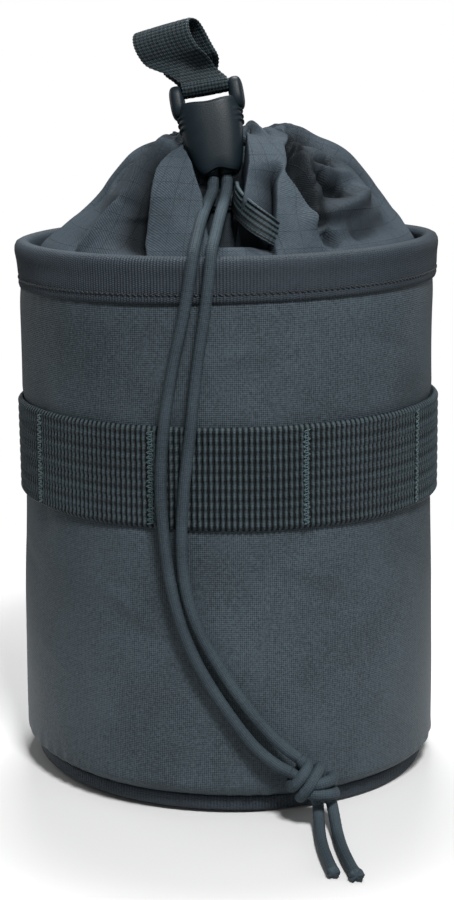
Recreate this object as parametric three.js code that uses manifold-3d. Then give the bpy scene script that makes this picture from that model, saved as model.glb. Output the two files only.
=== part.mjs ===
// Drawstring pouch: a padded round body with a webbing band, a gathered collar,
// and an elastic draw cord with a wedge cord lock. Millimetres, +Z up.
// Origin: centre of the base, on the surface it stands on. The front faces -Y.
import * as THREE from 'three';
import { mergeVertices } from 'three/addons/utils/BufferGeometryUtils.js';
import Module from 'manifold-3d';

// Driving dimensions
const GAP = 0.3; // clearance between touching pieces
const BODY_R = 53.4; // outer radius of the shell fabric
const BODY_H = 139; // height of the bound rim
const SHELL_T = 0.8; // shell fabric
const FOAM_T = 3.9; // padding
const LINING_T = 0.6; // lining fabric
const BAND_W = 25.4; // one-inch webbing
const BAND_Z = 73; // lower edge of the band
const BAND_T = 1.3;
const BINDING_T = 0.8; // tape that covers the raw edges
const BINDING_H = 11; // height of the rim tape outside
const BASE_R = 49.6; // radius of the set-in base panel
const BASE_H = 4; // height of the bound base seam
const TACK_COUNT = 9; // bar tacks that divide the band, 38 mm apart
const TACK_W = 1.8;
const TACK_H = 23;
const CORD_D = 2.8; // elastic draw cord
const FLOOR_CORD_Z = 1.5; // centre height of cord that lies on the surface
const HEM_R = 8; // radius of the gathered hem of the collar
const HEM_Z = 160;
const RING_SEGMENTS = 48;

const foamOuter = BODY_R - SHELL_T - GAP;
const foamInner = foamOuter - FOAM_T;
const liningOuter = foamInner - GAP;
const liningInner = liningOuter - LINING_T;

const wasm = await Module();
wasm.setup();

const object = new THREE.Group();

function material(color, roughness, metalness = 0) {
  return new THREE.MeshStandardMaterial({ color, roughness, metalness });
}

const shellCloth = () => material(0x3d464b, 0.7);
const liningCloth = () => material(0x4a5257, 0.8);
const foam = () => material(0x2b2e30, 0.95);
const webbing = () => material(0x33393d, 0.75);
const thread = () => material(0x5c737b, 0.6);
const collarCloth = () => material(0x4a555c, 0.6);
const cordSheath = () => material(0x343c42, 0.7);
const plastic = () => material(0x2a3238, 0.45);
const steel = () => material(0x9a9da0, 0.3, 0.9);

// Six times the signed volume: positive when the faces point out.
function signedVolume(geometry) {
  const position = geometry.getAttribute('position');
  const index = geometry.index;
  const a = new THREE.Vector3();
  const b = new THREE.Vector3();
  const c = new THREE.Vector3();
  let volume = 0;
  for (let i = 0; i < index.count; i += 3) {
    a.fromBufferAttribute(position, index.getX(i));
    b.fromBufferAttribute(position, index.getX(i + 1));
    c.fromBufferAttribute(position, index.getX(i + 2));
    volume += a.dot(b.cross(c));
  }
  return volume;
}

// One closed body: shared vertices merged, faces turned outwards.
function closed(geometry) {
  const solid = geometry.clone();
  solid.deleteAttribute('normal');
  solid.deleteAttribute('uv');
  const merged = mergeVertices(solid, 1e-4);
  if (signedVolume(merged) < 0) {
    const index = merged.index;
    for (let i = 0; i < index.count; i += 3) {
      const first = index.getX(i);
      index.setX(i, index.getX(i + 2));
      index.setX(i + 2, first);
    }
  }
  const corners = [];
  const index = merged.index;
  for (let i = 0; i < index.count; i += 3) {
    const [p, q, r] = [index.getX(i), index.getX(i + 1), index.getX(i + 2)];
    if (p !== q && q !== r && r !== p) {
      corners.push(p, q, r);
    }
  }
  merged.setIndex(corners);
  return merged;
}

function toManifold(geometry) {
  const solid = closed(geometry);
  const vertProperties = new Float32Array(solid.getAttribute('position').array);
  const triVerts = new Uint32Array(solid.index.array);
  return new wasm.Manifold(new wasm.Mesh({ numProp: 3, vertProperties, triVerts }));
}

function fromManifold(solid) {
  const mesh = solid.getMesh();
  const geometry = new THREE.BufferGeometry();
  geometry.setAttribute('position', new THREE.BufferAttribute(mesh.vertProperties, 3));
  geometry.setIndex(Array.from(mesh.triVerts));
  return geometry;
}

function add(name, geometry, finish, parent = object) {
  const mesh = new THREE.Mesh(closed(geometry), finish);
  mesh.name = name;
  parent.add(mesh);
  return mesh;
}

// A ring whose section is a closed outline of [radius, height] corners.
function ring(outline, segments = RING_SEGMENTS) {
  const points = outline.map(([r, z]) => new THREE.Vector2(r, z));
  points.push(points[0].clone());
  const geometry = new THREE.LatheGeometry(points, segments);
  geometry.rotateX(Math.PI / 2);
  return geometry;
}

function plainRing(inner, outer, low, high) {
  return ring([[inner, low], [outer, low], [outer, high], [inner, high]]);
}

function disc(radius, low, high) {
  const geometry = new THREE.CylinderGeometry(radius, radius, high - low, RING_SEGMENTS);
  geometry.rotateX(Math.PI / 2);
  geometry.translate(0, 0, (low + high) / 2);
  return geometry;
}

function box(width, depth, height) {
  return new THREE.BoxGeometry(width, depth, height);
}

// A place on the body: angle 0 is the front, positive towards +X.
function around(radius, angle, z) {
  return new THREE.Vector3(radius * Math.sin(angle), -radius * Math.cos(angle), z);
}

function curveThrough(points, loops = false) {
  return new THREE.CatmullRomCurve3(points.map((p) => new THREE.Vector3(...p)), loops, 'centripetal');
}

// A cord: a round section carried along a curve.
function tube(curve, steps, diameter = CORD_D, sides = 8) {
  const section = new THREE.Shape();
  for (let i = 0; i < sides; i += 1) {
    const turn = (i / sides) * Math.PI * 2;
    const [x, y] = [Math.cos(turn) * diameter / 2, Math.sin(turn) * diameter / 2];
    if (i === 0) {
      section.moveTo(x, y);
    } else {
      section.lineTo(x, y);
    }
  }
  return new THREE.ExtrudeGeometry(section, { steps, bevelEnabled: false, extrudePath: curve });
}

// Body wall: shell, padding and lining, one inside the other.
function buildWall() {
  const roomUnderTape = 1.5; // the rim tape is folded over a soft edge
  const top = BODY_H - BINDING_T - roomUnderTape;
  add('outer_shell', plainRing(BODY_R - SHELL_T, BODY_R, BASE_H + GAP, top), shellCloth());
  add('foam_sleeve', plainRing(foamInner, foamOuter, BASE_H + GAP, top), foam());
  add('lining_tube', plainRing(liningInner, liningOuter, BASE_H + GAP, top), liningCloth());
}

// The tape folded over the rim, an upside-down U in section.
function buildRimBinding() {
  const inside = liningInner - GAP;
  const outside = BODY_R + GAP;
  const low = BODY_H - BINDING_H;
  const under = BODY_H - BINDING_T - 2 * GAP;
  const shoulder = 0.6; // the fold is not quite square
  add('rim_binding', ring([
    [inside - BINDING_T, low],
    [inside, low],
    [inside, under],
    [outside, under],
    [outside, low],
    [outside + BINDING_T, low],
    [outside + BINDING_T, BODY_H - shoulder],
    [outside, BODY_H],
    [inside, BODY_H],
    [inside - BINDING_T, BODY_H - shoulder],
  ]), webbing());
}

// The webbing band and the bar tacks that divide it into equal slots.
function buildBand() {
  const inner = BODY_R + GAP;
  add('webbing_band', plainRing(inner, inner + BAND_T, BAND_Z, BAND_Z + BAND_W), webbing());
  const tackDepth = 0.5;
  const tackR = inner + BAND_T + GAP + tackDepth / 2;
  for (let i = 0; i < TACK_COUNT; i += 1) {
    const angle = ((i + 0.5) / TACK_COUNT) * Math.PI * 2;
    const tack = add(`bar_tack_${i + 1}`, box(TACK_W, tackDepth, TACK_H), thread());
    tack.position.copy(around(tackR, angle, BAND_Z + BAND_W / 2));
    tack.rotation.z = angle;
  }
}

// Base: outer panel, stiff padding, lining, and the bound seam round them.
function buildBase() {
  const panelT = 1; // two layers of shell fabric
  add('base_panel', disc(BASE_R, 0, panelT), shellCloth());
  add('base_foam', disc(BASE_R, panelT + GAP, BASE_H), foam());
  add('base_lining', disc(liningInner - GAP, BASE_H + GAP, BASE_H + GAP + LINING_T), liningCloth());
  add('base_binding', ring([
    [BASE_R + GAP, 0],
    [BASE_R + 1.2, 0],
    [BASE_R + 1.8, 0.8],
    [BASE_R + 1.8, BASE_H - 0.4],
    [BASE_R + 1.2, BASE_H],
    [BASE_R + GAP, BASE_H],
  ]), webbing());
}

// The tape over the raw vertical seam, inside at the back.
function buildBackSeam() {
  const [width, thickness] = [9, 0.6];
  const [low, high] = [6.5, 123.5];
  const tape = add('back_seam_tape', box(width, thickness, high - low), webbing());
  tape.position.set(0, liningInner - 1, (low + high) / 2);
}

// Height that the collar loses at the front, where the lock and cords press it.
function frontDip(radius, angle) {
  const centre = 0.03;
  const spread = 0.58;
  const depth = 16;
  const { smoothstep } = THREE.MathUtils;
  const reach = smoothstep(radius, 10, 18) * (1 - smoothstep(radius, 38.5, 47));
  return depth * reach * Math.exp(-(((angle - centre) / spread) ** 2));
}

// The gathered collar: a domed skirt that closes to the hem.
function buildCollar() {
  const thickness = 1.6;
  const outline = [
    [46.1, 126], [46.1, 139], [45.6, 143], [43, 148.5], [39.5, 154], [35, 159.5],
    [29, 164], [22, 166.5], [16, 166.5], [12.2, 164], [10.4, 160],
  ];
  const inner = outline.map(([r, z], i) => {
    const before = outline[Math.max(i - 1, 0)];
    const after = outline[Math.min(i + 1, outline.length - 1)];
    const along = new THREE.Vector2(after[0] - before[0], after[1] - before[1]).normalize();
    return [r - along.y * thickness, z + along.x * thickness];
  });
  const geometry = ring([...outline, ...inner.reverse()]);
  const position = geometry.getAttribute('position');
  for (let i = 0; i < position.count; i += 1) {
    const [x, y, z] = [position.getX(i), position.getY(i), position.getZ(i)];
    position.setZ(i, z - frontDip(Math.hypot(x, y), Math.atan2(x, -y)));
  }
  add('collar', geometry, collarCloth());
}

// The hem channel round the gather, open at the top where the cord comes out.
function buildHem() {
  const wall = 0.6;
  const room = CORD_D / 2 + GAP;
  add('collar_hem', ring([
    [HEM_R - room - wall, HEM_Z - room - wall],
    [HEM_R + room + wall, HEM_Z - room - wall],
    [HEM_R + room + wall, HEM_Z + 1],
    [HEM_R + room, HEM_Z + 1],
    [HEM_R + room, HEM_Z - room],
    [HEM_R - room, HEM_Z - room],
    [HEM_R - room, HEM_Z + 1],
    [HEM_R - room - wall, HEM_Z + 1],
  ], 24), collarCloth());
}

// The lock stands at the front of the gather, leaning back and to the left.
const LOCK_MOUTH = new THREE.Vector3(-1.7, -26, 156.2);
const LOCK_LEAN = THREE.MathUtils.degToRad(20);
const LOCK_ROLL = THREE.MathUtils.degToRad(-10);
const STRAND_X = 1.75; // half the spacing of the two cords in the lock

const lock = new THREE.Group();
lock.position.copy(LOCK_MOUTH);
lock.rotation.set(-LOCK_LEAN, LOCK_ROLL, 0, 'YXZ');
object.add(lock);
lock.updateMatrixWorld(true);

function onLock(x, y, z) {
  return lock.localToWorld(new THREE.Vector3(x, y, z)).toArray();
}

// A tapered body whose level sections are rounded ovals.
function ovalLoft(levels, sides = 24) {
  const positions = [];
  const corners = [];
  const rows = levels.length;
  for (const [z, halfX, halfY, shiftY = 0] of levels) {
    for (let i = 0; i < sides; i += 1) {
      const turn = (i / sides) * Math.PI * 2;
      const power = 0.75;
      const x = Math.sign(Math.cos(turn)) * Math.abs(Math.cos(turn)) ** power * halfX;
      const y = Math.sign(Math.sin(turn)) * Math.abs(Math.sin(turn)) ** power * halfY;
      positions.push(x, y + shiftY, z);
    }
  }
  for (let row = 0; row < rows - 1; row += 1) {
    for (let i = 0; i < sides; i += 1) {
      const next = (i + 1) % sides;
      const [a, b] = [row * sides + i, row * sides + next];
      corners.push(a, b, b + sides, a, b + sides, a + sides);
    }
  }
  const [first, last] = [positions.length / 3, positions.length / 3 + 1];
  positions.push(0, levels[0][3] ?? 0, levels[0][0]);
  positions.push(0, levels[rows - 1][3] ?? 0, levels[rows - 1][0]);
  for (let i = 0; i < sides; i += 1) {
    const next = (i + 1) % sides;
    corners.push(first, next, i);
    corners.push(last, (rows - 1) * sides + i, (rows - 1) * sides + next);
  }
  const geometry = new THREE.BufferGeometry();
  geometry.setAttribute('position', new THREE.Float32BufferAttribute(positions, 3));
  geometry.setIndex(corners);
  return geometry;
}

const LOCK_H = 18.5; // body height without the ears
const LOCK_LEVELS = [ // height, half width, half depth
  [0, 4.8, 3.6], [2, 5.8, 3.9], [5, 6.6, 4.2], [9, 7.3, 4.5], [14, 7.7, 4.8], [LOCK_H, 7.7, 4.9],
];
const BAR_Z = 22.6; // height of the pull bar between the ears
const BAR_Y = -1.2;
const BAR_R = 1.1;

const JAW_Y = -1.7; // the jaw slides along the front wall
const JAW_TOP = 10.6;
const STEM_R = 0.8;
const SHELF_Z = 16.3; // underside of the shelf that holds the spring

// Housing: a tapered tube with two ears and a bar between them, a mouth below,
// a window at the back, and a shelf inside for the spring.
function buildHousing() {
  let body = toManifold(ovalLoft(LOCK_LEVELS));
  const ear = ovalLoft([[-4.2, 1.2, 2.4], [-1, 1.6, 2.9], [1.6, 2, 2.9], [3.4, 1.5, 2.2], [4.2, 0.7, 1.2]], 12);
  for (const side of [-1, 1]) {
    const placed = ear.clone();
    placed.translate(side * 7.7, 0, LOCK_H + 1.3);
    body = body.add(toManifold(placed));
  }
  const rib = ovalLoft([[-0.35, 8, 3.1], [0.35, 8, 3.1]], 12);
  for (let i = 0; i < 3; i += 1) {
    const placed = rib.clone();
    placed.translate(0, 0, 13.6 + i * 1.4);
    body = body.add(toManifold(placed));
  }
  const hollow = ovalLoft([[-1, 3.6, 2.3], [0, 3.6, 2.3], [12, 4.7, 3.3], [LOCK_H + 1, 5.6, 3.7]], 16);
  body = body.subtract(toManifold(hollow));
  const shelf = box(11.2, 3, 1.2);
  shelf.translate(0, JAW_Y - 0.5, SHELF_Z + 0.6);
  body = body.add(toManifold(shelf));
  const stemHole = box(2.2, 2.2, 3);
  stemHole.translate(0, JAW_Y, SHELF_Z + 0.6);
  body = body.subtract(toManifold(stemHole));
  const between = box(12.4, 12, 8);
  between.translate(0, 0, LOCK_H + 4);
  body = body.subtract(toManifold(between));
  const bar = new THREE.CylinderGeometry(BAR_R, BAR_R, 14.6, 12);
  bar.rotateZ(Math.PI / 2);
  bar.translate(0, BAR_Y, BAR_Z);
  body = body.add(toManifold(bar));
  const window = box(7.4, 6, 4.6);
  window.translate(0, 4.4, 11.6);
  body = body.subtract(toManifold(window));
  add('lock_housing', fromManifold(body), plastic(), lock);
}

// Jaw: the toothed wedge that pinches the cords, and its guide stem.
function buildJaw() {
  let jaw = toManifold(ovalLoft([[4.2, 2.9, 0.5, -1.45], [JAW_TOP, 3.6, 0.8, JAW_Y]], 12));
  const stemTop = SHELF_Z + 0.4;
  const stem = new THREE.CylinderGeometry(STEM_R, STEM_R, stemTop - JAW_TOP + 1, 8);
  stem.rotateX(Math.PI / 2);
  stem.translate(0, JAW_Y, (stemTop + JAW_TOP - 1) / 2);
  jaw = jaw.add(toManifold(stem));
  const tooth = new THREE.CylinderGeometry(0.3, 0.3, 5, 6);
  tooth.rotateZ(Math.PI / 2);
  for (let i = 0; i < 4; i += 1) {
    const placed = tooth.clone();
    placed.translate(0, -0.95, 5.2 + i * 1.4);
    jaw = jaw.add(toManifold(placed));
  }
  add('lock_jaw', fromManifold(jaw), plastic(), lock);
}

// The coil spring round the stem, between the jaw and the shelf.
function buildLockSpring() {
  const turns = 4;
  const wire = 0.4;
  const low = JAW_TOP + wire / 2 + 0.1;
  const high = SHELF_Z - wire / 2 - 0.1;
  const points = [];
  const perTurn = 9;
  for (let i = 0; i <= turns * perTurn; i += 1) {
    const turn = (i / perTurn) * Math.PI * 2;
    const rise = low + ((high - low) * i) / (turns * perTurn);
    points.push([1.25 * Math.cos(turn), JAW_Y + 1.25 * Math.sin(turn), rise]);
  }
  add('lock_spring', tube(curveThrough(points), turns * perTurn, wire, 5), steel(), lock);
}

// The two strands where they pass through the lock, window to mouth.
function buildStrandsInLock() {
  for (const [name, side] of [['strand_in_lock_left', -1], ['strand_in_lock_right', 1]]) {
    const x = side * STRAND_X;
    const route = [[x, 0.3, 0.1], [x, 0.9, 3.4], [x, 1.15, 7], [x, 1.7, 9.8], [x, 3.4, 11.4], [x, 5.2, 11.7]];
    add(name, tube(curveThrough(route), 10), cordSheath(), lock);
  }
}

// The draw cord inside the hem, one loop, with both strands up to the lock.
function buildDrawcord() {
  const loop = [];
  const steps = 12;
  const opening = 1.15; // half the front angle where the cord leaves the hem
  for (let i = 0; i <= steps; i += 1) {
    const angle = opening + ((2 * Math.PI - 2 * opening) * i) / steps;
    loop.push(around(HEM_R, angle, HEM_Z + 0.2).toArray());
  }
  const right = [onLock(STRAND_X, 5.8, 11.7), onLock(STRAND_X, 7.2, 11.6), [1.8, -11.3, 165], [4.6, -6.6, 163.2]];
  const left = [[-5.2, -6.2, 163.4], [-4.8, -11.3, 164.9], onLock(-STRAND_X, 7.2, 11.6), onLock(-STRAND_X, 5.8, 11.7)];
  add('drawcord', tube(curveThrough([...right, ...loop, ...left]), 44), cordSheath());
}

// The two tails: out of the mouth, over the collar and rim, down the front.
const LEFT_TAIL = [
  [-3.35, -25.9, 155.4], [-3.6, -27.4, 152.4], [-4.6, -31.5, 150.2], [-5.4, -38, 148.6],
  [-6.3, -45, 146.2], [-7.1, -51, 143.3], [-7.7, -54.9, 140.6], [-8.4, -56.3, 136.5],
  [-9.9, -56.3, 127], [-12.8, -55.6, 113], [-15, -55.4, 98.5], [-15.8, -55.2, 84],
  [-14.9, -55.2, 69.6], [-13.3, -55.5, 58.7], [-10.7, -56, 48.8], [-6.6, -56.6, 39.4],
  [-0.5, -57.1, 29.4], [6.6, -57.5, 19.9], [12, -57.7, 15.2], [15.5, -57.9, 13.3],
];
const RIGHT_TAIL = [
  [0.1, -25.9, 156], [-0.1, -27.4, 152.8], [-0.7, -31.5, 150.4], [-1.3, -38, 148.7],
  [-2.1, -45, 146.3], [-2.9, -51, 143.3], [-3.6, -54.9, 140.6], [-4, -56.3, 136.5],
  [-5.1, -56.6, 127], [-7.1, -56.5, 113], [-8.6, -56.6, 98.8], [-10.2, -56.4, 84.4],
  [-10.9, -56.2, 69.9], [-9.9, -56.2, 58.9], [-7.4, -56.5, 50.3], [-2.6, -56.9, 41],
  [3.7, -57.2, 31.3], [9.9, -57.3, 23.5], [14.6, -57.4, 18.9], [17.7, -57.4, 16.6],
];
const KNOT = [20.7, -58.6, 10.9];
const LEFT_END = [
  [22.3, -59, 5.2], [22.4, -61.5, 3], [22.4, -66, FLOOR_CORD_Z + 0.1], [22.6, -74, FLOOR_CORD_Z],
  [23.4, -83, FLOOR_CORD_Z], [24.5, -91, FLOOR_CORD_Z],
];
const RIGHT_END = [
  [25.6, -59.2, 6], [26.2, -62, 3.2], [26.6, -67, FLOOR_CORD_Z + 0.1], [27.2, -76, FLOOR_CORD_Z],
  [28.3, -85, FLOOR_CORD_Z], [29.7, -92.8, FLOOR_CORD_Z],
];

function buildTails() {
  add('cord_tail_left', tube(curveThrough(LEFT_TAIL), 46), cordSheath());
  add('cord_tail_right', tube(curveThrough(RIGHT_TAIL), 46), cordSheath());
  const knot = new THREE.SphereGeometry(5.2, 12, 8);
  knot.translate(...KNOT);
  add('cord_knot', knot, cordSheath());
  add('cord_end_left', tube(curveThrough(LEFT_END), 12), cordSheath());
  add('cord_end_right', tube(curveThrough(RIGHT_END), 12), cordSheath());
}

// A flat strap: a box section carried through stations of [x, y, z], with its
// width along one direction and its thickness along the other at each station.
function strap(stations, loops) {
  const positions = [];
  const corners = [];
  for (const { centre, wide, thick } of stations) {
    for (const [w, t] of [[-1, -1], [1, -1], [1, 1], [-1, 1]]) {
      const point = centre.clone().addScaledVector(wide, w / 2).addScaledVector(thick, t / 2);
      positions.push(point.x, point.y, point.z);
    }
  }
  const count = stations.length;
  const spans = loops ? count : count - 1;
  for (let i = 0; i < spans; i += 1) {
    const [here, there] = [i * 4, ((i + 1) % count) * 4];
    for (let k = 0; k < 4; k += 1) {
      const next = (k + 1) % 4;
      corners.push(here + k, there + next, here + next, here + k, there + k, there + next);
    }
  }
  if (!loops) {
    const end = (count - 1) * 4;
    corners.push(0, 1, 2, 0, 2, 3, end, end + 2, end + 1, end, end + 3, end + 2);
  }
  const geometry = new THREE.BufferGeometry();
  geometry.setAttribute('position', new THREE.Float32BufferAttribute(positions, 3));
  geometry.setIndex(corners);
  return geometry;
}

// The tether: a narrow strap on edge, from behind the lock to the collar seam.
function buildTether() {
  const width = 6;
  const thickness = 0.9;
  const route = [[2.8, -28.8, 152], [3.9, -33.5, 150], [6, -38.5, 148], [9.2, -43.4, 146], [13, -46.4, 144.2]];
  const curve = curveThrough([...route, [16, -47, 143]]);
  const upright = new THREE.Vector3(0.1, 0.25, 0.96).normalize();
  const stations = curve.getPoints(10).map((centre, i) => {
    const along = curve.getTangent(i / 10);
    const thick = new THREE.Vector3().crossVectors(along, upright).normalize();
    const wide = new THREE.Vector3().crossVectors(thick, along).normalize();
    return { centre, wide: wide.multiplyScalar(width), thick: thick.multiplyScalar(thickness) };
  });
  add('tether_strap', strap(stations, false), webbing());
}

// The pull tab: a loop of webbing round the bar, squeezed between the ears,
// opening out, turning and leaning to the left as it rises.
function buildPullTab() {
  const thickness = 0.9;
  const height = 17;
  const wrapR = BAR_R + GAP + thickness / 2;
  const profile = [];
  const arcSteps = 6;
  for (let i = 0; i <= arcSteps; i += 1) {
    const turn = Math.PI + (i / arcSteps) * Math.PI;
    profile.push([wrapR * Math.cos(turn), wrapR * Math.sin(turn)]);
  }
  profile.push([2.2, 3.2], [3.2, 6.5], [3.7, 11], [3.2, 14.5], [1.8, height - 0.4]);
  profile.push([0, height], [-1.6, height - 0.5], [-2.6, 14.5], [-3, 11], [-2.6, 6.5], [-1.9, 3.2]);
  const { smoothstep, degToRad } = THREE.MathUtils;
  const place = (u, y, h) => {
    const rise = smoothstep(h, 2.2, 9);
    const yaw = degToRad(-38) * rise;
    const x = u * Math.cos(yaw) - y * Math.sin(yaw) - 0.44 * Math.max(h - 1, 0);
    const depth = u * Math.sin(yaw) + y * Math.cos(yaw);
    return new THREE.Vector3(x, BAR_Y + depth, BAR_Z + h - u * 0.15 * rise);
  };
  const halfWidth = (h) => 5.7 + 3.7 * smoothstep(h, 3, 9);
  const stations = profile.map(([y, h], i) => {
    const before = profile[(i + profile.length - 1) % profile.length];
    const after = profile[(i + 1) % profile.length];
    const normal = new THREE.Vector2(after[1] - before[1], before[0] - after[0]).normalize();
    const half = halfWidth(h);
    const wide = place(half, y, h).sub(place(-half, y, h));
    const step = thickness / 2;
    const outer = place(0, y + normal.x * step, h + normal.y * step);
    const inner = place(0, y - normal.x * step, h - normal.y * step);
    const centre = place(half, y, h).add(place(-half, y, h)).multiplyScalar(0.5);
    return { centre, wide, thick: outer.sub(inner) };
  });
  add('pull_tab', strap(stations, true), webbing(), lock);
}

buildWall();
buildRimBinding();
buildBand();
buildBase();
buildBackSeam();
buildCollar();
buildHem();
buildHousing();
buildJaw();
buildLockSpring();
buildStrandsInLock();
buildDrawcord();
buildTails();
buildTether();
buildPullTab();

export default object;
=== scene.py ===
"""Drawstring pouch: a padded round body with a webbing band, a gathered collar and an
elastic draw cord held by a wedge cord lock.

Every new piece is a surface worked out with numpy, in millimetres in this file and in
metres in the scene. Angles go round the body from the front (-Y) towards +X.
"""
import math

import bpy
import numpy as np
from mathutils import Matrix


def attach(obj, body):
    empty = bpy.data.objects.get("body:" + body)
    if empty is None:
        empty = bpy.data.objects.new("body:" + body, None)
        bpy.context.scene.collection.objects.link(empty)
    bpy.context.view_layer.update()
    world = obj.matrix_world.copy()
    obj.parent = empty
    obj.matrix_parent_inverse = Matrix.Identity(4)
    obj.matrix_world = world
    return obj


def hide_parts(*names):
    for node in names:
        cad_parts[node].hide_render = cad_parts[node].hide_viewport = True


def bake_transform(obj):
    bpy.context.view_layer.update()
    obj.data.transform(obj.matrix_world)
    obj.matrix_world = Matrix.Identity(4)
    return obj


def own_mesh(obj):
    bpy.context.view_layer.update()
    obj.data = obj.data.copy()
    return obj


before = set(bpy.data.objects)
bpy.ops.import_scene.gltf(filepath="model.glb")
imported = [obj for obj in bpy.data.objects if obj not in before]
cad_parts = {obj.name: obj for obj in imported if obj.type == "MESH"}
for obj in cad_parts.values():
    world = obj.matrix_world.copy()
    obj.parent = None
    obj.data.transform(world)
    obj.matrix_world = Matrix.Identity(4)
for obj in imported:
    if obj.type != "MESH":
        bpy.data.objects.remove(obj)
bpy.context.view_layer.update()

MM = 0.001
TURN = 2 * np.pi

CAMERA_PLACE = (0, -0.517, 0.188)
CAMERA_DOWN = 11.6  # degrees below level
CAMERA_LENS = 79.28
SURROUNDINGS = 0.24  # how strongly the world lights the pouch
BACKDROP = 1.0  # how bright the world is where it is seen
FLOOR_HALF = 0.4


# ---------------------------------------------------------------- camera and light

def place_camera():
    """A long lens in front of the pouch, looking down a little."""
    data = bpy.data.cameras.new("camera")
    data.lens = CAMERA_LENS
    camera = bpy.data.objects.new("camera", data)
    camera.location = CAMERA_PLACE
    camera.rotation_euler = (math.radians(90 - CAMERA_DOWN), 0, 0)
    bpy.context.scene.collection.objects.link(camera)
    bpy.context.scene.camera = camera


def area_light(name, place, target, size, power):
    data = bpy.data.lights.new(name, "AREA")
    data.size = size
    data.energy = power
    lamp = bpy.data.objects.new(name, data)
    lamp.location = place
    direction = np.subtract(target, place)
    lamp.rotation_euler = (
        math.atan2(math.hypot(direction[0], direction[1]), -direction[2]),
        0,
        math.atan2(direction[0], -direction[1]) + math.pi,
    )
    bpy.context.scene.collection.objects.link(lamp)


def light_studio():
    """A white backdrop, dimmer surroundings, a key high in front and a little to the right,
    a weak fill from the right, a lamp above and behind, and two behind at the sides."""
    world = bpy.data.worlds.new("studio")
    world.use_nodes = True
    nodes, links = world.node_tree.nodes, world.node_tree.links
    background = nodes["Background"]
    background.inputs["Color"].default_value = (1, 1, 1, 1)
    seen = nodes.new("ShaderNodeLightPath")
    strength = nodes.new("ShaderNodeMapRange")
    strength.inputs["To Min"].default_value = SURROUNDINGS
    strength.inputs["To Max"].default_value = BACKDROP
    links.new(seen.outputs["Is Camera Ray"], strength.inputs["Value"])
    links.new(strength.outputs["Result"], background.inputs["Strength"])
    bpy.context.scene.world = world
    bpy.context.scene.view_settings.view_transform = "Standard"
    middle = (0, 0, 0.09)
    area_light("key", (0.16, -0.62, 0.92), middle, 0.2, 14.5)
    area_light("fill", (0.7, -0.35, 0.3), middle, 0.3, 0.4)
    area_light("top", (0.0, 0.25, 0.8), middle, 0.2, 6.0)
    area_light("back_left", (-0.6, 0.45, 0.3), middle, 0.35, 0.8)
    area_light("back_right", (0.6, 0.45, 0.3), middle, 0.35, 0.6)


# ---------------------------------------------------------------- shapes from numbers

def smoothstep(x, low, high):
    t = np.clip((x - low) / (high - low), 0, 1)
    return t * t * (3 - 2 * t)


def bell(x):
    return np.exp(-np.square(x))


def boxed(wave, power):
    """A wave between -1 and 1 with its tops squared off, by a power below one."""
    return np.sign(wave) * np.abs(wave) ** power


def unit(vectors):
    return vectors / np.linalg.norm(vectors, axis=-1, keepdims=True)


def around(radius, angle, z):
    """Points at a radius and an angle from the front."""
    radius, angle, z = np.broadcast_arrays(radius, angle, z)
    return np.stack([radius * np.sin(angle), -radius * np.cos(angle), z], -1)


def curve(points, step):
    """Centripetal Catmull-Rom curve through the points, cut at even steps of its length."""
    p = np.asarray(points, float)
    p = np.vstack([2 * p[0] - p[1], p, 2 * p[-1] - p[-2]])
    knot = np.sqrt(np.linalg.norm(np.diff(p, axis=0), axis=1))
    before, span, after = knot[:-2, None], knot[1:-1, None], knot[2:, None]
    start, end = p[1:-2], p[2:-1]
    leave = span * ((start - p[:-3]) / before - (end - p[:-3]) / (before + span)) + end - start
    reach = span * ((p[3:] - end) / after - (p[3:] - start) / (span + after)) + end - start
    t = np.linspace(0, 1, 25)[None, :-1, None]
    fine = ((2 * t**3 - 3 * t**2 + 1) * start[:, None] + (t**3 - 2 * t**2 + t) * leave[:, None]
            + (3 * t**2 - 2 * t**3) * end[:, None] + (t**3 - t**2) * reach[:, None])
    fine = np.vstack([fine.reshape(-1, p.shape[1]), p[-2]])
    length = np.concatenate([[0], np.cumsum(np.linalg.norm(np.diff(fine, axis=0), axis=1))])
    stops = np.linspace(0, length[-1], max(2, int(round(length[-1] / step)) + 1))
    return np.stack([np.interp(stops, length, fine[:, k]) for k in range(p.shape[1])], -1)


def carried_axes(path, side, closes=False):
    """A sideways and an upward direction at each station of a path, turned no more than the
    path turns. On a closed path the small twist left at the join is spread over its length."""
    tangent = unit(np.roll(path, -1, 0) - np.roll(path, 1, 0)) if closes else unit(np.gradient(path, axis=0))
    sides = np.empty_like(path)
    current = np.asarray(side, float)
    for i, along in enumerate(tangent):
        current = current - along * current.dot(along)
        current = current / np.linalg.norm(current)
        sides[i] = current
    ups = np.cross(tangent, sides)
    if closes:
        first = sides[0] - tangent[-1] * sides[0].dot(tangent[-1])
        twist = math.atan2(first.dot(ups[-1]), first.dot(sides[-1]))
        turn = np.linspace(0, twist, len(path))[:, None]
        sides, ups = sides * np.cos(turn) + ups * np.sin(turn), ups * np.cos(turn) - sides * np.sin(turn)
    return sides, ups


RIPPLE_R = 50  # radius at which a ripple's wavelength round the body is counted


def ripple(seed, angle, height, waves, size, length):
    """A sum of seeded cosines: whole numbers of waves round the body, and wavelengths up it
    from the given length upwards."""
    random = np.random.default_rng(seed)
    total = 0
    for _ in range(waves):
        waves_round = random.integers(1, max(2, int(TURN * RIPPLE_R / length)))
        rise = random.uniform(-1, 1) * TURN / length
        total = total + np.cos(waves_round * angle + rise * height + random.uniform(0, TURN))
    return size * total / math.sqrt(waves)


def length_along(points):
    return np.concatenate([[0], np.cumsum(np.linalg.norm(np.diff(points, axis=0), axis=1))])


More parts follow.
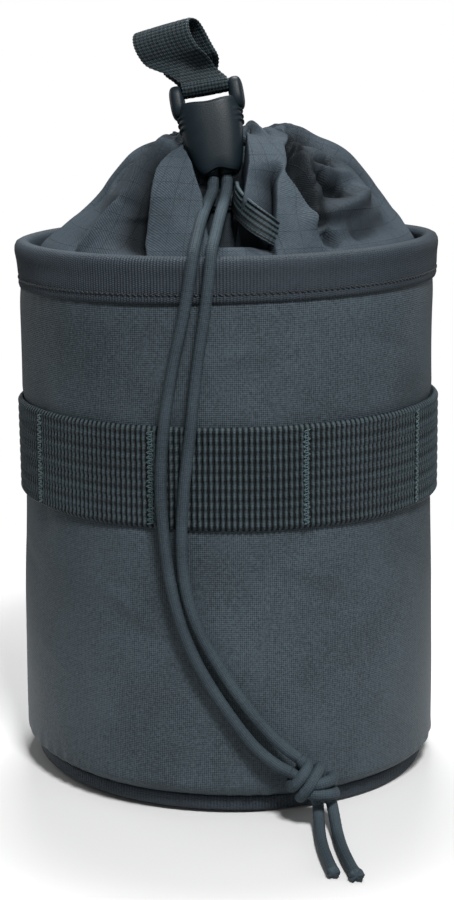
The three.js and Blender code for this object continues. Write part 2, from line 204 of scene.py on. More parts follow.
def surface(points, uv=None, round_u=False, round_v=False, cap_low=False, cap_high=False):
    """A grid of points, rows by columns, as vertices, faces and the uv of each face corner.
    It can close on itself either way, and a row at either end can be closed to its middle."""
    rows, columns = points.shape[:2]
    if uv is None:
        v, u = np.meshgrid(np.arange(rows + round_v), np.arange(columns + round_u), indexing="ij")
        uv = np.stack([u / columns, v / rows], -1)
    r, c = np.meshgrid(np.arange(rows - 1 + round_v), np.arange(columns - 1 + round_u), indexing="ij")
    r, c = r.ravel(), c.ravel()
    corners = [(r, c), (r, c + 1), (r + 1, c + 1), (r + 1, c)]
    quads = np.stack([(a % rows) * columns + b % columns for a, b in corners], 1)
    quad_uv = np.stack([uv[a, b] for a, b in corners], 1)
    vertices = points.reshape(-1, 3)
    faces = [quads]
    face_uv = [quad_uv]
    for wanted, row, turn in ((cap_low, 0, 1), (cap_high, rows - 1, -1)):
        if wanted:
            first = row * columns + np.arange(columns)
            second = row * columns + (np.arange(columns) + 1) % columns
            middle = np.full(columns, len(vertices))
            vertices = np.vstack([vertices, points[row].mean(0)])
            faces.append(np.stack([first, middle, second][::turn], 1))
            row_uv = uv[row, :columns]
            face_uv.append(np.stack([row_uv] * 3, 1))
    return outward((vertices, faces, face_uv))


def outward(shape):
    """The same closed surface with its faces pointing out, by the sign of its volume."""
    vertices, faces, face_uv = shape
    volume = 0
    for face in faces:
        for k in range(1, face.shape[1] - 1):
            a, b, c = vertices[face[:, 0]], vertices[face[:, k]], vertices[face[:, k + 1]]
            volume += np.einsum("ij,ij->", a, np.cross(b, c))
    if volume < 0:
        faces = [face[:, ::-1] for face in faces]
        face_uv = [corner[:, ::-1] for corner in face_uv]
    return vertices, faces, face_uv


def tube(path, radius, sides, side=(1, 0, 0), closes=False, braid=0.0, flat=1.0):
    """A round section carried along a path. Radius may change along it, braid raises two
    crossing spirals on it, and flat squeezes the section upwards."""
    sideways, upwards = carried_axes(path, side, closes)
    turn = np.linspace(0, TURN, sides, endpoint=False)
    along = length_along(path)
    radius = np.broadcast_to(radius, len(path))[:, None]
    weave = np.cos(4 * turn + along[:, None] * 1.9) * np.cos(4 * turn - along[:, None] * 1.9)
    reach = radius * (1 + braid * weave)
    points = (path[:, None] + (reach * np.cos(turn))[..., None] * sideways[:, None]
              + (flat * reach * np.sin(turn))[..., None] * upwards[:, None])
    rows, columns = len(path) + closes, sides + 1
    run = np.append(along, along[-1] + np.linalg.norm(path[0] - path[-1])) if closes else along
    uv = np.stack(np.broadcast_arrays(np.arange(columns) / sides, run[:rows, None]), -1)
    return surface(points, uv, round_u=True, round_v=closes, cap_low=not closes, cap_high=not closes)


def blob(centre, half, power=0.8, rows=24, columns=32):
    """A rounded block: a ball whose cosines are raised to a power below one."""
    lift = np.linspace(-np.pi / 2, np.pi / 2, rows + 2)[1:-1, None]
    turn = np.linspace(0, TURN, columns, endpoint=False)
    x = boxed(np.cos(lift), power) * boxed(np.cos(turn), power) * half[0]
    y = boxed(np.cos(lift), power) * boxed(np.sin(turn), power) * half[1]
    z = np.broadcast_to(boxed(np.sin(lift), power) * half[2], x.shape)
    return surface(np.stack([x, y, z], -1) + centre, round_u=True, cap_low=True, cap_high=True)


def moved(shape, change):
    """A surface with its vertices passed through a function."""
    vertices, faces, face_uv = shape
    return change(vertices), faces, face_uv


def add_piece(name, shapes, finish, body, slot, *nodes):
    """One mesh object from any number of surfaces, riding on a body."""
    vertices, corners, sizes, uv = [], [], [], []
    count = 0
    for points, faces, face_uv in shapes:
        vertices.append(points)
        for face, corner_uv in zip(faces, face_uv):
            corners.append((face + count).ravel())
            sizes.append(np.full(len(face), face.shape[1]))
            uv.append(corner_uv.reshape(-1, 2))
        count += len(points)
    corners, sizes = np.concatenate(corners), np.concatenate(sizes)
    mesh = bpy.data.meshes.new(name)
    mesh.vertices.add(count)
    mesh.vertices.foreach_set("co", (np.concatenate(vertices) * MM).astype(np.float32).ravel())
    mesh.loops.add(len(corners))
    mesh.loops.foreach_set("vertex_index", corners.astype(np.int32))
    mesh.polygons.add(len(sizes))
    starts = np.concatenate([[0], np.cumsum(sizes)[:-1]])
    mesh.polygons.foreach_set("loop_start", starts.astype(np.int32))
    mesh.update(calc_edges=True)
    mesh.uv_layers.new(name="UVMap").uv.foreach_set("vector", np.concatenate(uv).astype(np.float32).ravel())
    mesh.shade_smooth()
    mesh.materials.append(finish)
    piece = bpy.data.objects.new(name, mesh)
    bpy.context.scene.collection.objects.link(piece)
    if body:
        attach(piece, body)
    if nodes:
        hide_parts(*nodes)
    return piece


# ---------------------------------------------------------------- finishes

class Link:
    """One node output. Arithmetic on it adds Math nodes."""

    def __init__(self, finish, socket):
        self.finish = finish
        self.socket = socket

    def __add__(self, other):
        return self.finish.math("ADD", self, other)

    def __sub__(self, other):
        return self.finish.math("SUBTRACT", self, other)

    def __rsub__(self, other):
        return self.finish.math("SUBTRACT", other, self)

    def __mul__(self, other):
        return self.finish.math("MULTIPLY", self, other)

    def __truediv__(self, other):
        return self.finish.math("DIVIDE", self, other)

    __radd__ = __add__
    __rmul__ = __mul__


class Finish:
    """A material being built. Constants go on the shader's own sockets."""

    def __init__(self, name, **constants):
        self.material = bpy.data.materials.new(name)
        self.material.use_nodes = True
        self.tree = self.material.node_tree
        self.shader = self.tree.nodes["Principled BSDF"]
        for socket, value in constants.items():
            self.shader.inputs[socket.replace("_", " ")].default_value = value

    def node(self, kind, settings=None, inputs=None, output=0):
        """A node of a type, its settings first, then the values or links of its sockets."""
        node = self.tree.nodes.new(kind)
        for key, value in (settings or {}).items():
            if key == "stops":
                ramp = node.color_ramp.elements
                while len(ramp) < len(value):
                    ramp.new(0.5)
                for stop, (position, level) in zip(ramp, value):
                    stop.position = position
                    stop.color = (level, level, level, 1)
            else:
                setattr(node, key, value)
        for key, value in (inputs or {}).items():
            self.join(value, node.inputs[key])
        return Link(self, node.outputs[output])

    def join(self, value, socket):
        if isinstance(value, Link):
            self.tree.links.new(value.socket, socket)
        else:
            socket.default_value = value

    def math(self, operation, *values):
        return self.node("ShaderNodeMath", {"operation": operation}, dict(enumerate(values)))

    def sine(self, value):
        return self.math("SINE", value)

    def place(self):
        return self.node("ShaderNodeTexCoord", output="Object")

    def along(self):
        """The two directions of the piece's own cloth, as separate numbers."""
        uv = self.node("ShaderNodeUVMap", {"uv_map": "UVMap"})
        return [self.node("ShaderNodeSeparateXYZ", inputs={0: uv}, output=k) for k in (0, 1)]

    def noise(self, scale, detail=3.0, roughness=0.5, vector=None):
        inputs = {"Vector": vector or self.place(), "Scale": scale, "Detail": detail, "Roughness": roughness}
        return self.node("ShaderNodeTexNoise", inputs=inputs)

    def mix(self, factor, first, second):
        """A colour between two colours."""
        node = self.tree.nodes.new("ShaderNodeMix")
        node.data_type = "RGBA"
        self.join(factor, node.inputs[0])
        self.join(first, node.inputs[6])
        self.join(second, node.inputs[7])
        return Link(self, node.outputs[2])

    def span(self, value, low, high):
        """A 0 to 1 value spread between two numbers."""
        return value * (high - low) + low

    def limited(self, value):
        return self.node("ShaderNodeClamp", inputs={0: value})

    def bump(self, height, distance, strength=1.0):
        """Raised detail: the height times the distance, in metres."""
        inputs = {"Height": height, "Distance": distance, "Strength": strength}
        normal = self.node("ShaderNodeBump", inputs=inputs)
        self.tree.links.new(normal.socket, self.shader.inputs["Normal"])

    def colour(self, value):
        self.join(value, self.shader.inputs["Base Color"])

    def rough(self, value):
        self.join(value, self.shader.inputs["Roughness"])


def shade(colour, factor):
    return tuple(channel * factor for channel in colour) + (1,)


SHELL = (0.041, 0.055, 0.065)
COLLAR = (0.040, 0.053, 0.065)
TAPE = (0.028, 0.037, 0.046)
WEB = (0.021, 0.031, 0.036)
CORD = (0.034, 0.047, 0.056)


def shell_finish():
    """Coated plain-woven nylon: a square weave 0.7 mm apart, the product of two waves on the
    diagonals, with faint mottling."""
    finish = Finish("shell_cloth_finish", Specular_IOR_Level=0.12)
    u, v = finish.along()
    pitch = 0.7
    diagonal = TURN / (pitch * math.sqrt(2))
    weave = finish.sine((u + v) * diagonal) * finish.sine((u - v) * diagonal)
    mottle = finish.noise(38.0, 4.0, 0.6)
    grain = finish.noise(1600.0, 2.0)
    tone = finish.limited(finish.span(weave, 0.5, 1.0) + (grain - 0.5) * 1.4 + (mottle - 0.5) * 0.9)
    finish.colour(finish.mix(tone, shade(SHELL, 0.5), shade(SHELL, 1.6)))
    finish.rough(finish.limited(finish.span(mottle, 0.42, 0.6) + weave * -0.05))
    finish.bump(weave * 0.5 + grain * 0.6, 0.00007)
    return finish.material


def collar_finish():
    """Light ripstop nylon: fine ribs on the bias and a heavier thread every 4.5 mm each way, darkened with
    painted shade in the deep folds and the cleft.
    """
    finish = Finish("collar_cloth_finish", Specular_IOR_Level=0.05)
    u, v = finish.along()
    ribs = finish.sine((u * 0.8 + v) * (TURN / 0.62))
    cross = finish.sine((u - v * 0.8) * (TURN / 0.9))
    grid = []
    for value in (u, v):
        wave = finish.math("ABSOLUTE", finish.sine(value * (math.pi / 4.5)))
        grid.append(finish.node("ShaderNodeValToRGB", {"stops": [(0.0, 1.0), (0.09, 0.0)]}, {0: wave}))
    lines = finish.math("MAXIMUM", grid[0], grid[1])
    grain = finish.noise(1500.0, 2.0)
    mottle = finish.noise(45.0, 3.0)
    tone = finish.limited(0.5 + ribs * 0.16 + (grain - 0.5) * 0.8 + (mottle - 0.5) * 0.6 - lines * 0.35)
    cloth = finish.mix(tone, shade(COLLAR, 0.6), shade(COLLAR, 1.45))
    # Painted shade: a per-vertex amount that darkens the cloth towards a near-black copy of its colour in
    # folds, steps and the cleft.
    painted_shade = finish.node("ShaderNodeAttribute", {"attribute_name": "fold_depth"}, output=2)
    finish.colour(finish.mix(painted_shade, cloth, shade(COLLAR, 0.1)))
    finish.rough(finish.span(mottle, 0.55, 0.7))
    finish.bump(ribs * 0.5 + cross * 0.25 + lines * 1.1 + grain * 0.5, 0.00006)
    return finish.material


def tape_finish(name, colour, pitch=0.8):
    """Grosgrain: ribs across the tape, crossed by the fine yarn that binds them."""
    finish = Finish(name, Specular_IOR_Level=0.12)
    u, v = finish.along()
    ribs = finish.sine(u * (TURN / pitch))
    yarn = finish.sine(v * (TURN / 0.45) + finish.sine(u * (TURN / (2 * pitch))) * 1.5)
    grain = finish.noise(1400.0, 3.0)
    wear = finish.noise(60.0, 4.0, 0.6)
    tone = finish.limited(0.5 + ribs * 0.22 + yarn * 0.08 + (grain - 0.5) * 0.8 + (wear - 0.5) * 0.7)
    finish.colour(finish.mix(tone, shade(colour, 0.62), shade(colour, 1.5)))
    finish.rough(finish.span(wear, 0.45, 0.65))
    finish.bump(ribs * 0.5 + yarn * 0.4 + grain * 0.5, 0.00008)
    return finish.material


def webbing_finish(name, rib, row, rib_gap_shade, row_groove_shade):
    """Nylon webbing: fine yarns inside the ribs that the surface already has, and painted
    shade: darker in the gaps between the ribs along it and the rows across it, lighter on their crowns."""
    finish = Finish(name, Specular_IOR_Level=0.15)
    u, v = finish.along()
    yarn = finish.sine(v * (TURN / 0.38) + finish.sine(u * (TURN / 1.4)) * 0.9)
    ribs = finish.math("ABSOLUTE", finish.math("COSINE", u * (math.pi / rib)))
    rows = finish.math("ABSOLUTE", finish.sine(v * (math.pi / row)))
    grain = finish.noise(1700.0, 3.0, 0.6)
    wear = finish.noise(70.0, 4.0, 0.6)
    # Painted shade: darker in the gaps between ribs and rows, lighter on their crowns.
    raised = (ribs - 0.7) * rib_gap_shade + (rows - 0.68) * row_groove_shade
    tone = finish.limited(0.45 + raised + yarn * 0.1 + (grain - 0.5) * 0.9 + (wear - 0.5) * 0.5)
    finish.colour(finish.mix(tone, shade(WEB, 0.12), shade(WEB, 2.1)))
    finish.rough(finish.span(grain, 0.4, 0.62))
    finish.bump(yarn * 0.4 + grain * 0.8, 0.00008)
    return finish.material


def cord_finish():
    """Braided sheath: two spirals that cross, with a pale edge where a yarn rides up."""
    finish = Finish("cord_finish", Specular_IOR_Level=0.06)
    u, v = finish.along()
    spiral = finish.sine(u * (8 * TURN) + v * (TURN / 0.85))
    counter = finish.sine(u * (8 * TURN) - v * (TURN / 0.85))
    braid = spiral * counter
    grain = finish.noise(1800.0, 2.0, 0.6)
    wear = finish.noise(90.0, 3.0)
    tone = finish.limited(0.45 + braid * 0.25 + (grain - 0.5) * 0.8 + (wear - 0.5) * 0.8)
    finish.colour(finish.mix(tone, shade(CORD, 0.6), shade(CORD, 1.7)))
    finish.rough(finish.span(wear, 0.5, 0.7))
    finish.bump(braid * 0.6 + grain * 0.5, 0.00008)
    return finish.material


def thread_finish(name, colour):
    """Bonded thread: two plies twisted round each other."""
    finish = Finish(name, Specular_IOR_Level=0.4, Sheen_Weight=0.05)
    u, v = finish.along()
    plies = finish.sine(u * (2 * TURN) + v * (TURN / 0.7))
    grain = finish.noise(2500.0, 2.0)
    tone = finish.limited(0.5 + plies * 0.3 + (grain - 0.5) * 0.8)
    finish.colour(finish.mix(tone, shade(colour, 0.55), shade(colour, 1.4)))
    finish.rough(finish.span(grain, 0.35, 0.55))
    finish.bump(plies, 0.00006)
    return finish.material


def plastic_finish():
    """Satin moulded acetal with a faint grain, rubbed a little brighter in places."""
    finish = Finish("lock_plastic_finish", Specular_IOR_Level=0.16)
    grain = finish.noise(3200.0, 3.0, 0.6)
    rub = finish.noise(160.0, 4.0, 0.6)
    finish.colour(finish.mix(rub, (0.004, 0.008, 0.011, 1), (0.009, 0.016, 0.021, 1)))
    finish.rough(finish.limited(finish.span(rub, 0.36, 0.5) + (grain - 0.5) * 0.1))
    finish.bump(grain, 0.00003)
    return finish.material


def steel_finish():
    """Drawn spring wire: fine lines along it."""
    finish = Finish("spring_steel_finish", Metallic=1.0)
    u, v = finish.along()
    lines = finish.noise(900.0, 2.0, vector=finish.node("ShaderNodeCombineXYZ", inputs={0: u, 1: v * 0.02}))
    finish.colour(finish.mix(lines, (0.42, 0.43, 0.44, 1), (0.62, 0.63, 0.64, 1)))
    finish.rough(finish.span(lines, 0.22, 0.4))
    finish.bump(lines, 0.00001)
    return finish.material


def foam_finish():
    """Closed-cell foam: small bubbles and slow changes of tone."""
    finish = Finish("foam_finish", Specular_IOR_Level=0.2)
    cells = finish.node("ShaderNodeTexVoronoi", inputs={"Vector": finish.place(), "Scale": 1400.0})
    mottle = finish.noise(80.0, 3.0)
    finish.colour(finish.mix(mottle, (0.035, 0.037, 0.04, 1), (0.065, 0.067, 0.07, 1)))
    finish.rough(finish.span(mottle, 0.85, 0.97))
    finish.bump(cells, 0.0002)
    return finish.material


def lining_finish():
    """Thin plain-woven nylon, paler than the shell."""
    finish = Finish("lining_finish", Specular_IOR_Level=0.3, Sheen_Weight=0.2)
    u, v = finish.along()
    weave = finish.sine(u * (TURN / 0.5)) * finish.sine(v * (TURN / 0.5))
    mottle = finish.noise(50.0, 3.0)
    tone = finish.limited(0.5 + weave * 0.3 + (mottle - 0.5) * 0.8)
    finish.colour(finish.mix(tone, (0.045, 0.053, 0.058, 1), (0.085, 0.099, 0.108, 1)))
    finish.rough(finish.span(mottle, 0.5, 0.66))
    finish.bump(weave, 0.00005)
    return finish.material


def floor_finish():
    """Matt white that fades out with distance into the white backdrop."""
    finish = Finish("floor_finish", Roughness=0.8, Specular_IOR_Level=0.0)
    away = finish.node("ShaderNodeVectorMath", {"operation": "LENGTH"}, {0: finish.place()}, output=1)
    finish.colour((0.62, 0.62, 0.62, 1))
    finish.join(finish.limited(1.6 - away * 6.0), finish.shader.inputs["Alpha"])
    return finish.material


# ---------------------------------------------------------------- cords

CORD_R = 1.4
LEFT_TAIL = [
    (-3.35, -25.9, 155.4), (-3.6, -27.4, 152.4), (-4.6, -31.5, 150.2), (-5.4, -38, 148.6),
    (-6.3, -45, 146.2), (-7.1, -51, 143.3), (-7.7, -54.9, 140.6), (-8.4, -56.3, 136.5),
    (-9.9, -56.3, 127), (-12.8, -55.6, 113), (-15, -55.4, 98.5), (-15.8, -55.2, 84),
    (-14.9, -55.2, 69.6), (-13.3, -55.5, 58.7), (-10.7, -56, 48.8), (-6.6, -56.6, 39.4),
    (-0.5, -57.1, 29.4), (6.6, -57.5, 19.9), (12, -57.7, 15.2), (15.5, -57.9, 13.3),
]
RIGHT_TAIL = [
    (0.1, -25.9, 156), (-0.1, -27.4, 152.8), (-0.7, -31.5, 150.4), (-1.3, -38, 148.7),
    (-2.1, -45, 146.3), (-2.9, -51, 143.3), (-3.6, -54.9, 140.6), (-4, -56.3, 136.5),
    (-5.1, -56.6, 127), (-7.1, -56.5, 113), (-8.6, -56.6, 98.8), (-10.2, -56.4, 84.4),
    (-10.9, -56.2, 69.9), (-9.9, -56.2, 58.9), (-7.4, -56.5, 50.3), (-2.6, -56.9, 41),
    (3.7, -57.2, 31.3), (9.9, -57.3, 23.5), (14.6, -57.4, 18.9), (17.7, -57.4, 16.6),
]
KNOT = (20.7, -58.6, 10.9)
LEFT_END = [
    (22.3, -59, 5.2), (22.4, -61.5, 3), (22.4, -66, 1.6), (22.6, -74, 1.5), (23.4, -83, 1.5),
    (24.5, -91, 1.5),
]
RIGHT_END = [
    (25.6, -59.2, 6), (26.2, -62, 3.2), (26.6, -67, 1.6), (27.2, -76, 1.5), (28.3, -85, 1.5),
    (29.7, -92.8, 1.5),
]


def add_tails(cord):
    """The two strands from the lock's mouth to the knot, with the knot's strand ends."""
    knot = add_knot(cord)
    for name, route, node in (("tail_left", LEFT_TAIL, "cord_tail_left"),
                              ("tail_right", RIGHT_TAIL, "cord_tail_right")):
        path = curve(route, 0.4)
        piece = add_piece(name, [tube(path, CORD_R, 32, braid=0.03)], cord, None, "cord", node)
        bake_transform(piece)
    for name, route, node in (("end_left", LEFT_END, "cord_end_left"),
                              ("end_right", RIGHT_END, "cord_end_right")):
        path = curve(route, 0.35)
        piece = add_piece(name, [cut_end(path, name == "end_right")], cord, "root", "cord", node)


def cut_end(path, flares):
    """A strand whose last few millimetres open out and fray where it was cut."""
    left = length_along(path)[-1] - length_along(path)
    flare = 1 + (0.28 if flares else 0.08) * bell(left / 1.6)
    vertices, faces, face_uv = tube(path, CORD_R * flare, 32, braid=0.03)
    count = len(path) * 32
    turn = np.tile(np.arange(32) / 32 * TURN, len(path))
    fray = np.repeat(bell(left / 0.5), 32) * (0.25 * np.sin(5 * turn + 1) + 0.15 * np.sin(11 * turn))
    along = unit(path[-1] - path[-6])
    vertices = vertices.copy()
    vertices[:count] += fray[:, None] * along * (1.6 if flares else 0.8)
    vertices[:, 2] = np.maximum(vertices[:, 2], 0.05)
    return vertices, faces, face_uv


def add_knot(cord):
    """A knot drawn tight, as a lump of rings: two turns round the cords that come in, two
    turns across them where the ends leave, and the strands that run into it."""
    shapes = [blob(KNOT, (4.0, 3.3, 4.0), 1.0)]
    wraps = [
        # centre, axis, radius, squeeze along the second direction
        ((17.7, -58.3, 12.6), (0.84, -0.12, -0.52), 3.4, 0.95),
        ((20.3, -58.6, 11.0), (0.86, -0.2, -0.46), 4.0, 1.0),
        ((22.9, -58.8, 11.4), (0.35, -0.25, -0.9), 3.1, 1.0),
        ((23.1, -59.2, 8.6), (0.12, -0.3, -0.95), 3.2, 1.0),
    ]
    turn = turns(90)[:, None]
    for centre, axis, radius, squeeze in wraps:
        axis = unit(np.array(axis))
        across = unit(np.cross(axis, (0, 1, 0)))
        ahead = np.cross(axis, across)
        uneven = 1 + 0.06 * np.sin(2 * turn + centre[0])
        path = centre + radius * uneven * (np.cos(turn) * across + squeeze * np.sin(turn) * ahead)
        path = path + 0.5 * np.sin(turn + 0.8) * axis
        shapes.append(tube(path, 1.46, 28, side=tuple(axis), closes=True, braid=0.04))
    leads = [
        [LEFT_TAIL[-1], (17.2, -58.2, 12.2), (19.6, -58.8, 10.8)],
        [RIGHT_TAIL[-1], (18.8, -57.8, 15.2), (20.8, -58.4, 11.8)],
        [(20.6, -58.8, 9.4), (21.6, -59, 7.4), LEFT_END[0]],
        [(22.6, -58.8, 9.6), (24.4, -59.1, 7.9), RIGHT_END[0]],
    ]
    shapes += [tube(curve(lead, 0.4), CORD_R, 28, braid=0.03) for lead in leads]
    return add_piece("knot", shapes, cord, "root", "cord", "cord_knot")


def turns(count):
    return np.linspace(0, TURN, count, endpoint=False)


# The lock's own frame: its mouth, and its sideways, backward and upward directions.
LOCK_MOUTH = np.array([-1.7, -26, 156.2])
LEAN = math.radians(20)
ROLL = math.radians(10)
LOCK_AXES = np.array([
    (math.cos(ROLL), 0, math.sin(ROLL)),
    (math.sin(ROLL) * math.sin(LEAN), math.cos(LEAN), -math.cos(ROLL) * math.sin(LEAN)),
    (-math.sin(ROLL) * math.cos(LEAN), math.sin(LEAN), math.cos(ROLL) * math.cos(LEAN)),
])


def on_lock(points):
    """Places given in the lock's own frame, in the object's frame."""
    return LOCK_MOUTH + np.asarray(points, float) @ LOCK_AXES


STRAND_X = 1.75
HEM_R = 8.0
HEM_Z = 160.0


def add_drawcord(cord):
    """The loop inside the hem with both strands up to the lock, and the strands inside it."""
    opening = 1.15
    angle = np.linspace(opening, TURN - opening, 13)
    loop = [tuple(point) for point in around(HEM_R, angle, HEM_Z + 0.2)]
    window = [on_lock((side * STRAND_X, y, z)) for side in (1, -1) for y, z in ((5.6, 11.7), (7.2, 11.6))]
    route = [window[0], window[1], (1.8, -11.3, 165), (4.6, -6.6, 163.2), *loop,
             (-5.2, -6.2, 163.4), (-4.8, -11.3, 164.9), window[3], window[2]]
    path = curve(route, 0.5)
    piece = add_piece("drawcord_loop", [tube(path, CORD_R, 24, braid=0.03)], cord, None, "cord", "drawcord")
    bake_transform(piece)
    for name, side in (("left", -1), ("right", 1)):
        x = side * STRAND_X
        inner = [(x, 0.3, 0.1), (x, 0.9, 3.4), (x, 1.15, 7), (x, 1.7, 9.8), (x, 3.4, 11.4), (x, 5.4, 11.7)]
        strand = tube(curve(on_lock(inner), 0.4), CORD_R, 24, braid=0.03)
        add_piece(f"lock_strand_{name}", [strand], cord, "cord_lock", "cord", f"strand_in_lock_{name}")


# ---------------------------------------------------------------- the soft body

BODY_R = 53.4
BODY_TOP = 136.7
SEAM_Z = 4.3
RIM_Z = 139.0
STITCH_Z = 130.2
BAND_LOW = 73.0
BAND_HIGH = 98.4
TACK_ANGLES = (np.arange(9) + 0.5) * TURN / 9
BAND_RIBS = 246
BAND_RIB = TURN * BODY_R / BAND_RIBS
BAND_ROW = (BAND_HIGH - BAND_LOW) / 11


def settle(points):
    """The soft body stands a little askew: its rings tip, and it leans right lower down."""
    x, y, z = points[..., 0], points[..., 1], points[..., 2]
    tip = np.interp(z, [0, 5, 73, 98.4, 128, 139, 160], [-0.014, -0.012, 0, 0.012, 0.028, 0.015, 0])
    lift = 0.75 * np.clip(1 - z / 20, 0, 1)
    lean = 1.0 * np.clip(1 - z / RIM_Z, 0, 1)
    return np.stack([x + lean, y, np.maximum(z + x * tip + lift, 0)], -1)


def near_tacks(angle, spread):
    """1 on each bar tack's line, falling to 0 either side of it."""
    apart = np.abs((angle[..., None] - TACK_ANGLES + np.pi) % TURN - np.pi) * BODY_R
    return bell(apart / spread).max(-1)


CREASES = [
    # height (mm, minus is a hollow), half width (mm), from and to (degrees, mm up)
    (0.35, 2.2, (-42, 60), (-18, 47)), (-0.4, 2.6, (-36, 52), (-12, 42)), (0.3, 2.0, (8, 66), (30, 58)),
    (-0.35, 2.4, (14, 60), (46, 49)), (0.3, 2.2, (-66, 38), (-40, 30)), (-0.3, 2.4, (24, 34), (52, 40)),
    (0.3, 2.0, (60, 62), (82, 50)), (-0.3, 2.6, (-84, 60), (-60, 54)), (0.25, 2.2, (-10, 112), (16, 118)),
    (-0.3, 2.4, (30, 120), (58, 112)), (0.3, 2.0, (110, 50), (142, 60)), (-0.35, 2.4, (160, 40), (190, 52)),
    (0.3, 2.4, (215, 110), (240, 120)), (-0.3, 2.2, (118, 116), (150, 108)), (0.3, 2.2, (205, 62), (236, 48)),
]


def near_leg(angle, height, radius, start, end):
    """Distance in mm from each place to a straight leg, and the share of the leg passed."""
    across = ((angle - math.radians(start[0]) + np.pi) % TURN - np.pi) * radius
    up = height - start[1]
    leg_x = math.radians(end[0] - start[0]) * radius
    leg_y = end[1] - start[1]
    share = np.clip((across * leg_x + up * leg_y) / (leg_x**2 + leg_y**2), 0, 1)
    return np.hypot(across - share * leg_x, up - share * leg_y), share


def shell_radius(angle, z):
    """The outer cloth: fuller towards the base, drawn in at its seam, pinched beside the
    band and its bar tacks, and creased."""
    radius = BODY_R + 0.3 + 0.95 * smoothstep(-z, -76, -24) + 0 * angle
    radius = radius - 2.9 * np.square(np.clip((7.6 - z) / 3.3, 0, 1)) - 0.7 * smoothstep(z, 122, 136)
    under_band = smoothstep(z, BAND_LOW - 3, BAND_LOW + 2) * (1 - smoothstep(z, BAND_HIGH - 2, BAND_HIGH + 3))
    radius = radius - (radius - BODY_R + 0.1) * under_band
    edge = bell((z - BAND_LOW + 2) / 5) + bell((z - BAND_HIGH - 2) / 5)
    radius = radius - 0.45 * near_tacks(angle, 3.5) * edge
    pucker = bell((z - 6) / 3) * 0.12 + bell((z - 126) / 4) * 0.04
    radius = radius + pucker * np.cos(58 * angle + 2.5 * np.sin(7 * angle)) * (1 + np.sin(5 * angle))
    free = 1 - under_band
    radius = radius + free * ripple(11, angle, z, 9, 0.16, 34) + ripple(12, angle, 0.3 * z, 6, 0.22, 110)
    for height, wide, start, end in CREASES:
        apart, share = near_leg(angle, z, BODY_R, start, end)
        radius = radius + free * height * bell(apart / wide) * np.sin(np.pi * np.clip(share, 0.04, 0.96))
    return radius


def ring_wall(outer, inner, z_outer, z_inner, angle):
    """A closed ring: an outer surface going up and an inner one coming down."""
    radius = np.vstack([outer, inner])
    z = np.vstack([np.broadcast_to(z_outer, outer.shape), np.broadcast_to(z_inner, inner.shape)])
    points = settle(around(radius, angle[None, :], z))
    u = np.append(angle, TURN) * BODY_R
    v = np.append(z[:, 0], z[0, 0])
    uv = np.stack(np.broadcast_arrays(u[None, :], v[:, None]), -1)
    return surface(points, uv, round_u=True, round_v=True)


def add_body(finishes):
    """The wall: the outer cloth, the padding inside it and the lining, each a closed ring."""
    angle = turns(480)
    z = np.linspace(SEAM_Z, BODY_TOP, 150)[:, None]
    down = np.linspace(BODY_TOP, SEAM_Z, 30)[:, None]
    outer = shell_radius(angle[None, :], z)
    thick = 0.75 - 0.4 * smoothstep(down, 120, 130)
    shell = ring_wall(outer, shell_radius(angle[None, :], down) - thick, z, down, angle)
    piece = add_piece("body_shell", [shell], finishes["shell"], "root", "shell_cloth", "outer_shell")

    angle = turns(240)
    z = np.linspace(SEAM_Z + 0.3, BODY_TOP - 0.4, 70)[:, None]
    down = z[::-1]
    soft = 0.22 * np.cos(5 * angle[None, :]) * np.sin(z / 9) + ripple(21, angle[None, :], z, 6, 0.12, 30)
    pinch = smoothstep(z, 122, 134)
    tuck = 1.9 * np.square(np.clip((9 - z) / 5, 0, 1))
    outer = 52.0 - tuck + 0.35 * pinch + soft * 0.4 * (1 - pinch)
    inner = (48.5 + 3.5 * pinch + soft * (1 - pinch))[::-1]
    padding = ring_wall(outer, inner, z, down, angle)
    piece = add_piece("wall_padding", [padding], finishes["foam"], "root", "foam", "foam_sleeve")

    soft = ripple(31, angle[None, :], z, 8, 0.22, 26)
    outer = 47.9 + 0.5 * soft * (1 - pinch) + 3.8 * pinch
    lining = ring_wall(outer, outer[::-1] - 0.45 + 0 * down, z, down, angle)
    piece = add_piece("wall_lining", [lining], finishes["lining"], "root", "lining_cloth", "lining_tube")

    add_back_tape(finishes)


def add_back_tape(finishes):
    """The ribbed tape over the raw seam, inside at the back."""
    along = np.linspace(6.5, 123.5, 260)
    section = turns(28)
    width, thick = 4.5, 0.35
    across = width * boxed(np.cos(section), 0.4)
    depth = thick * boxed(np.sin(section), 0.6)
    rib = 0.06 * np.cos(along * TURN / 1.35)[:, None] * (np.abs(across) < 4)
    radius = 46.5 + depth[None, :] + np.sign(depth)[None, :] * rib
    points = settle(around(radius, np.pi + across[None, :] / 46.5, along[:, None]))
    uv = np.stack(np.broadcast_arrays(along[:, None], np.append(across, across[0])[None, :]), -1)
    tape = surface(points, uv, round_u=True, cap_low=True, cap_high=True)
    add_piece("back_tape", [tape], finishes["tape"], "root", "binding_tape", "back_seam_tape")


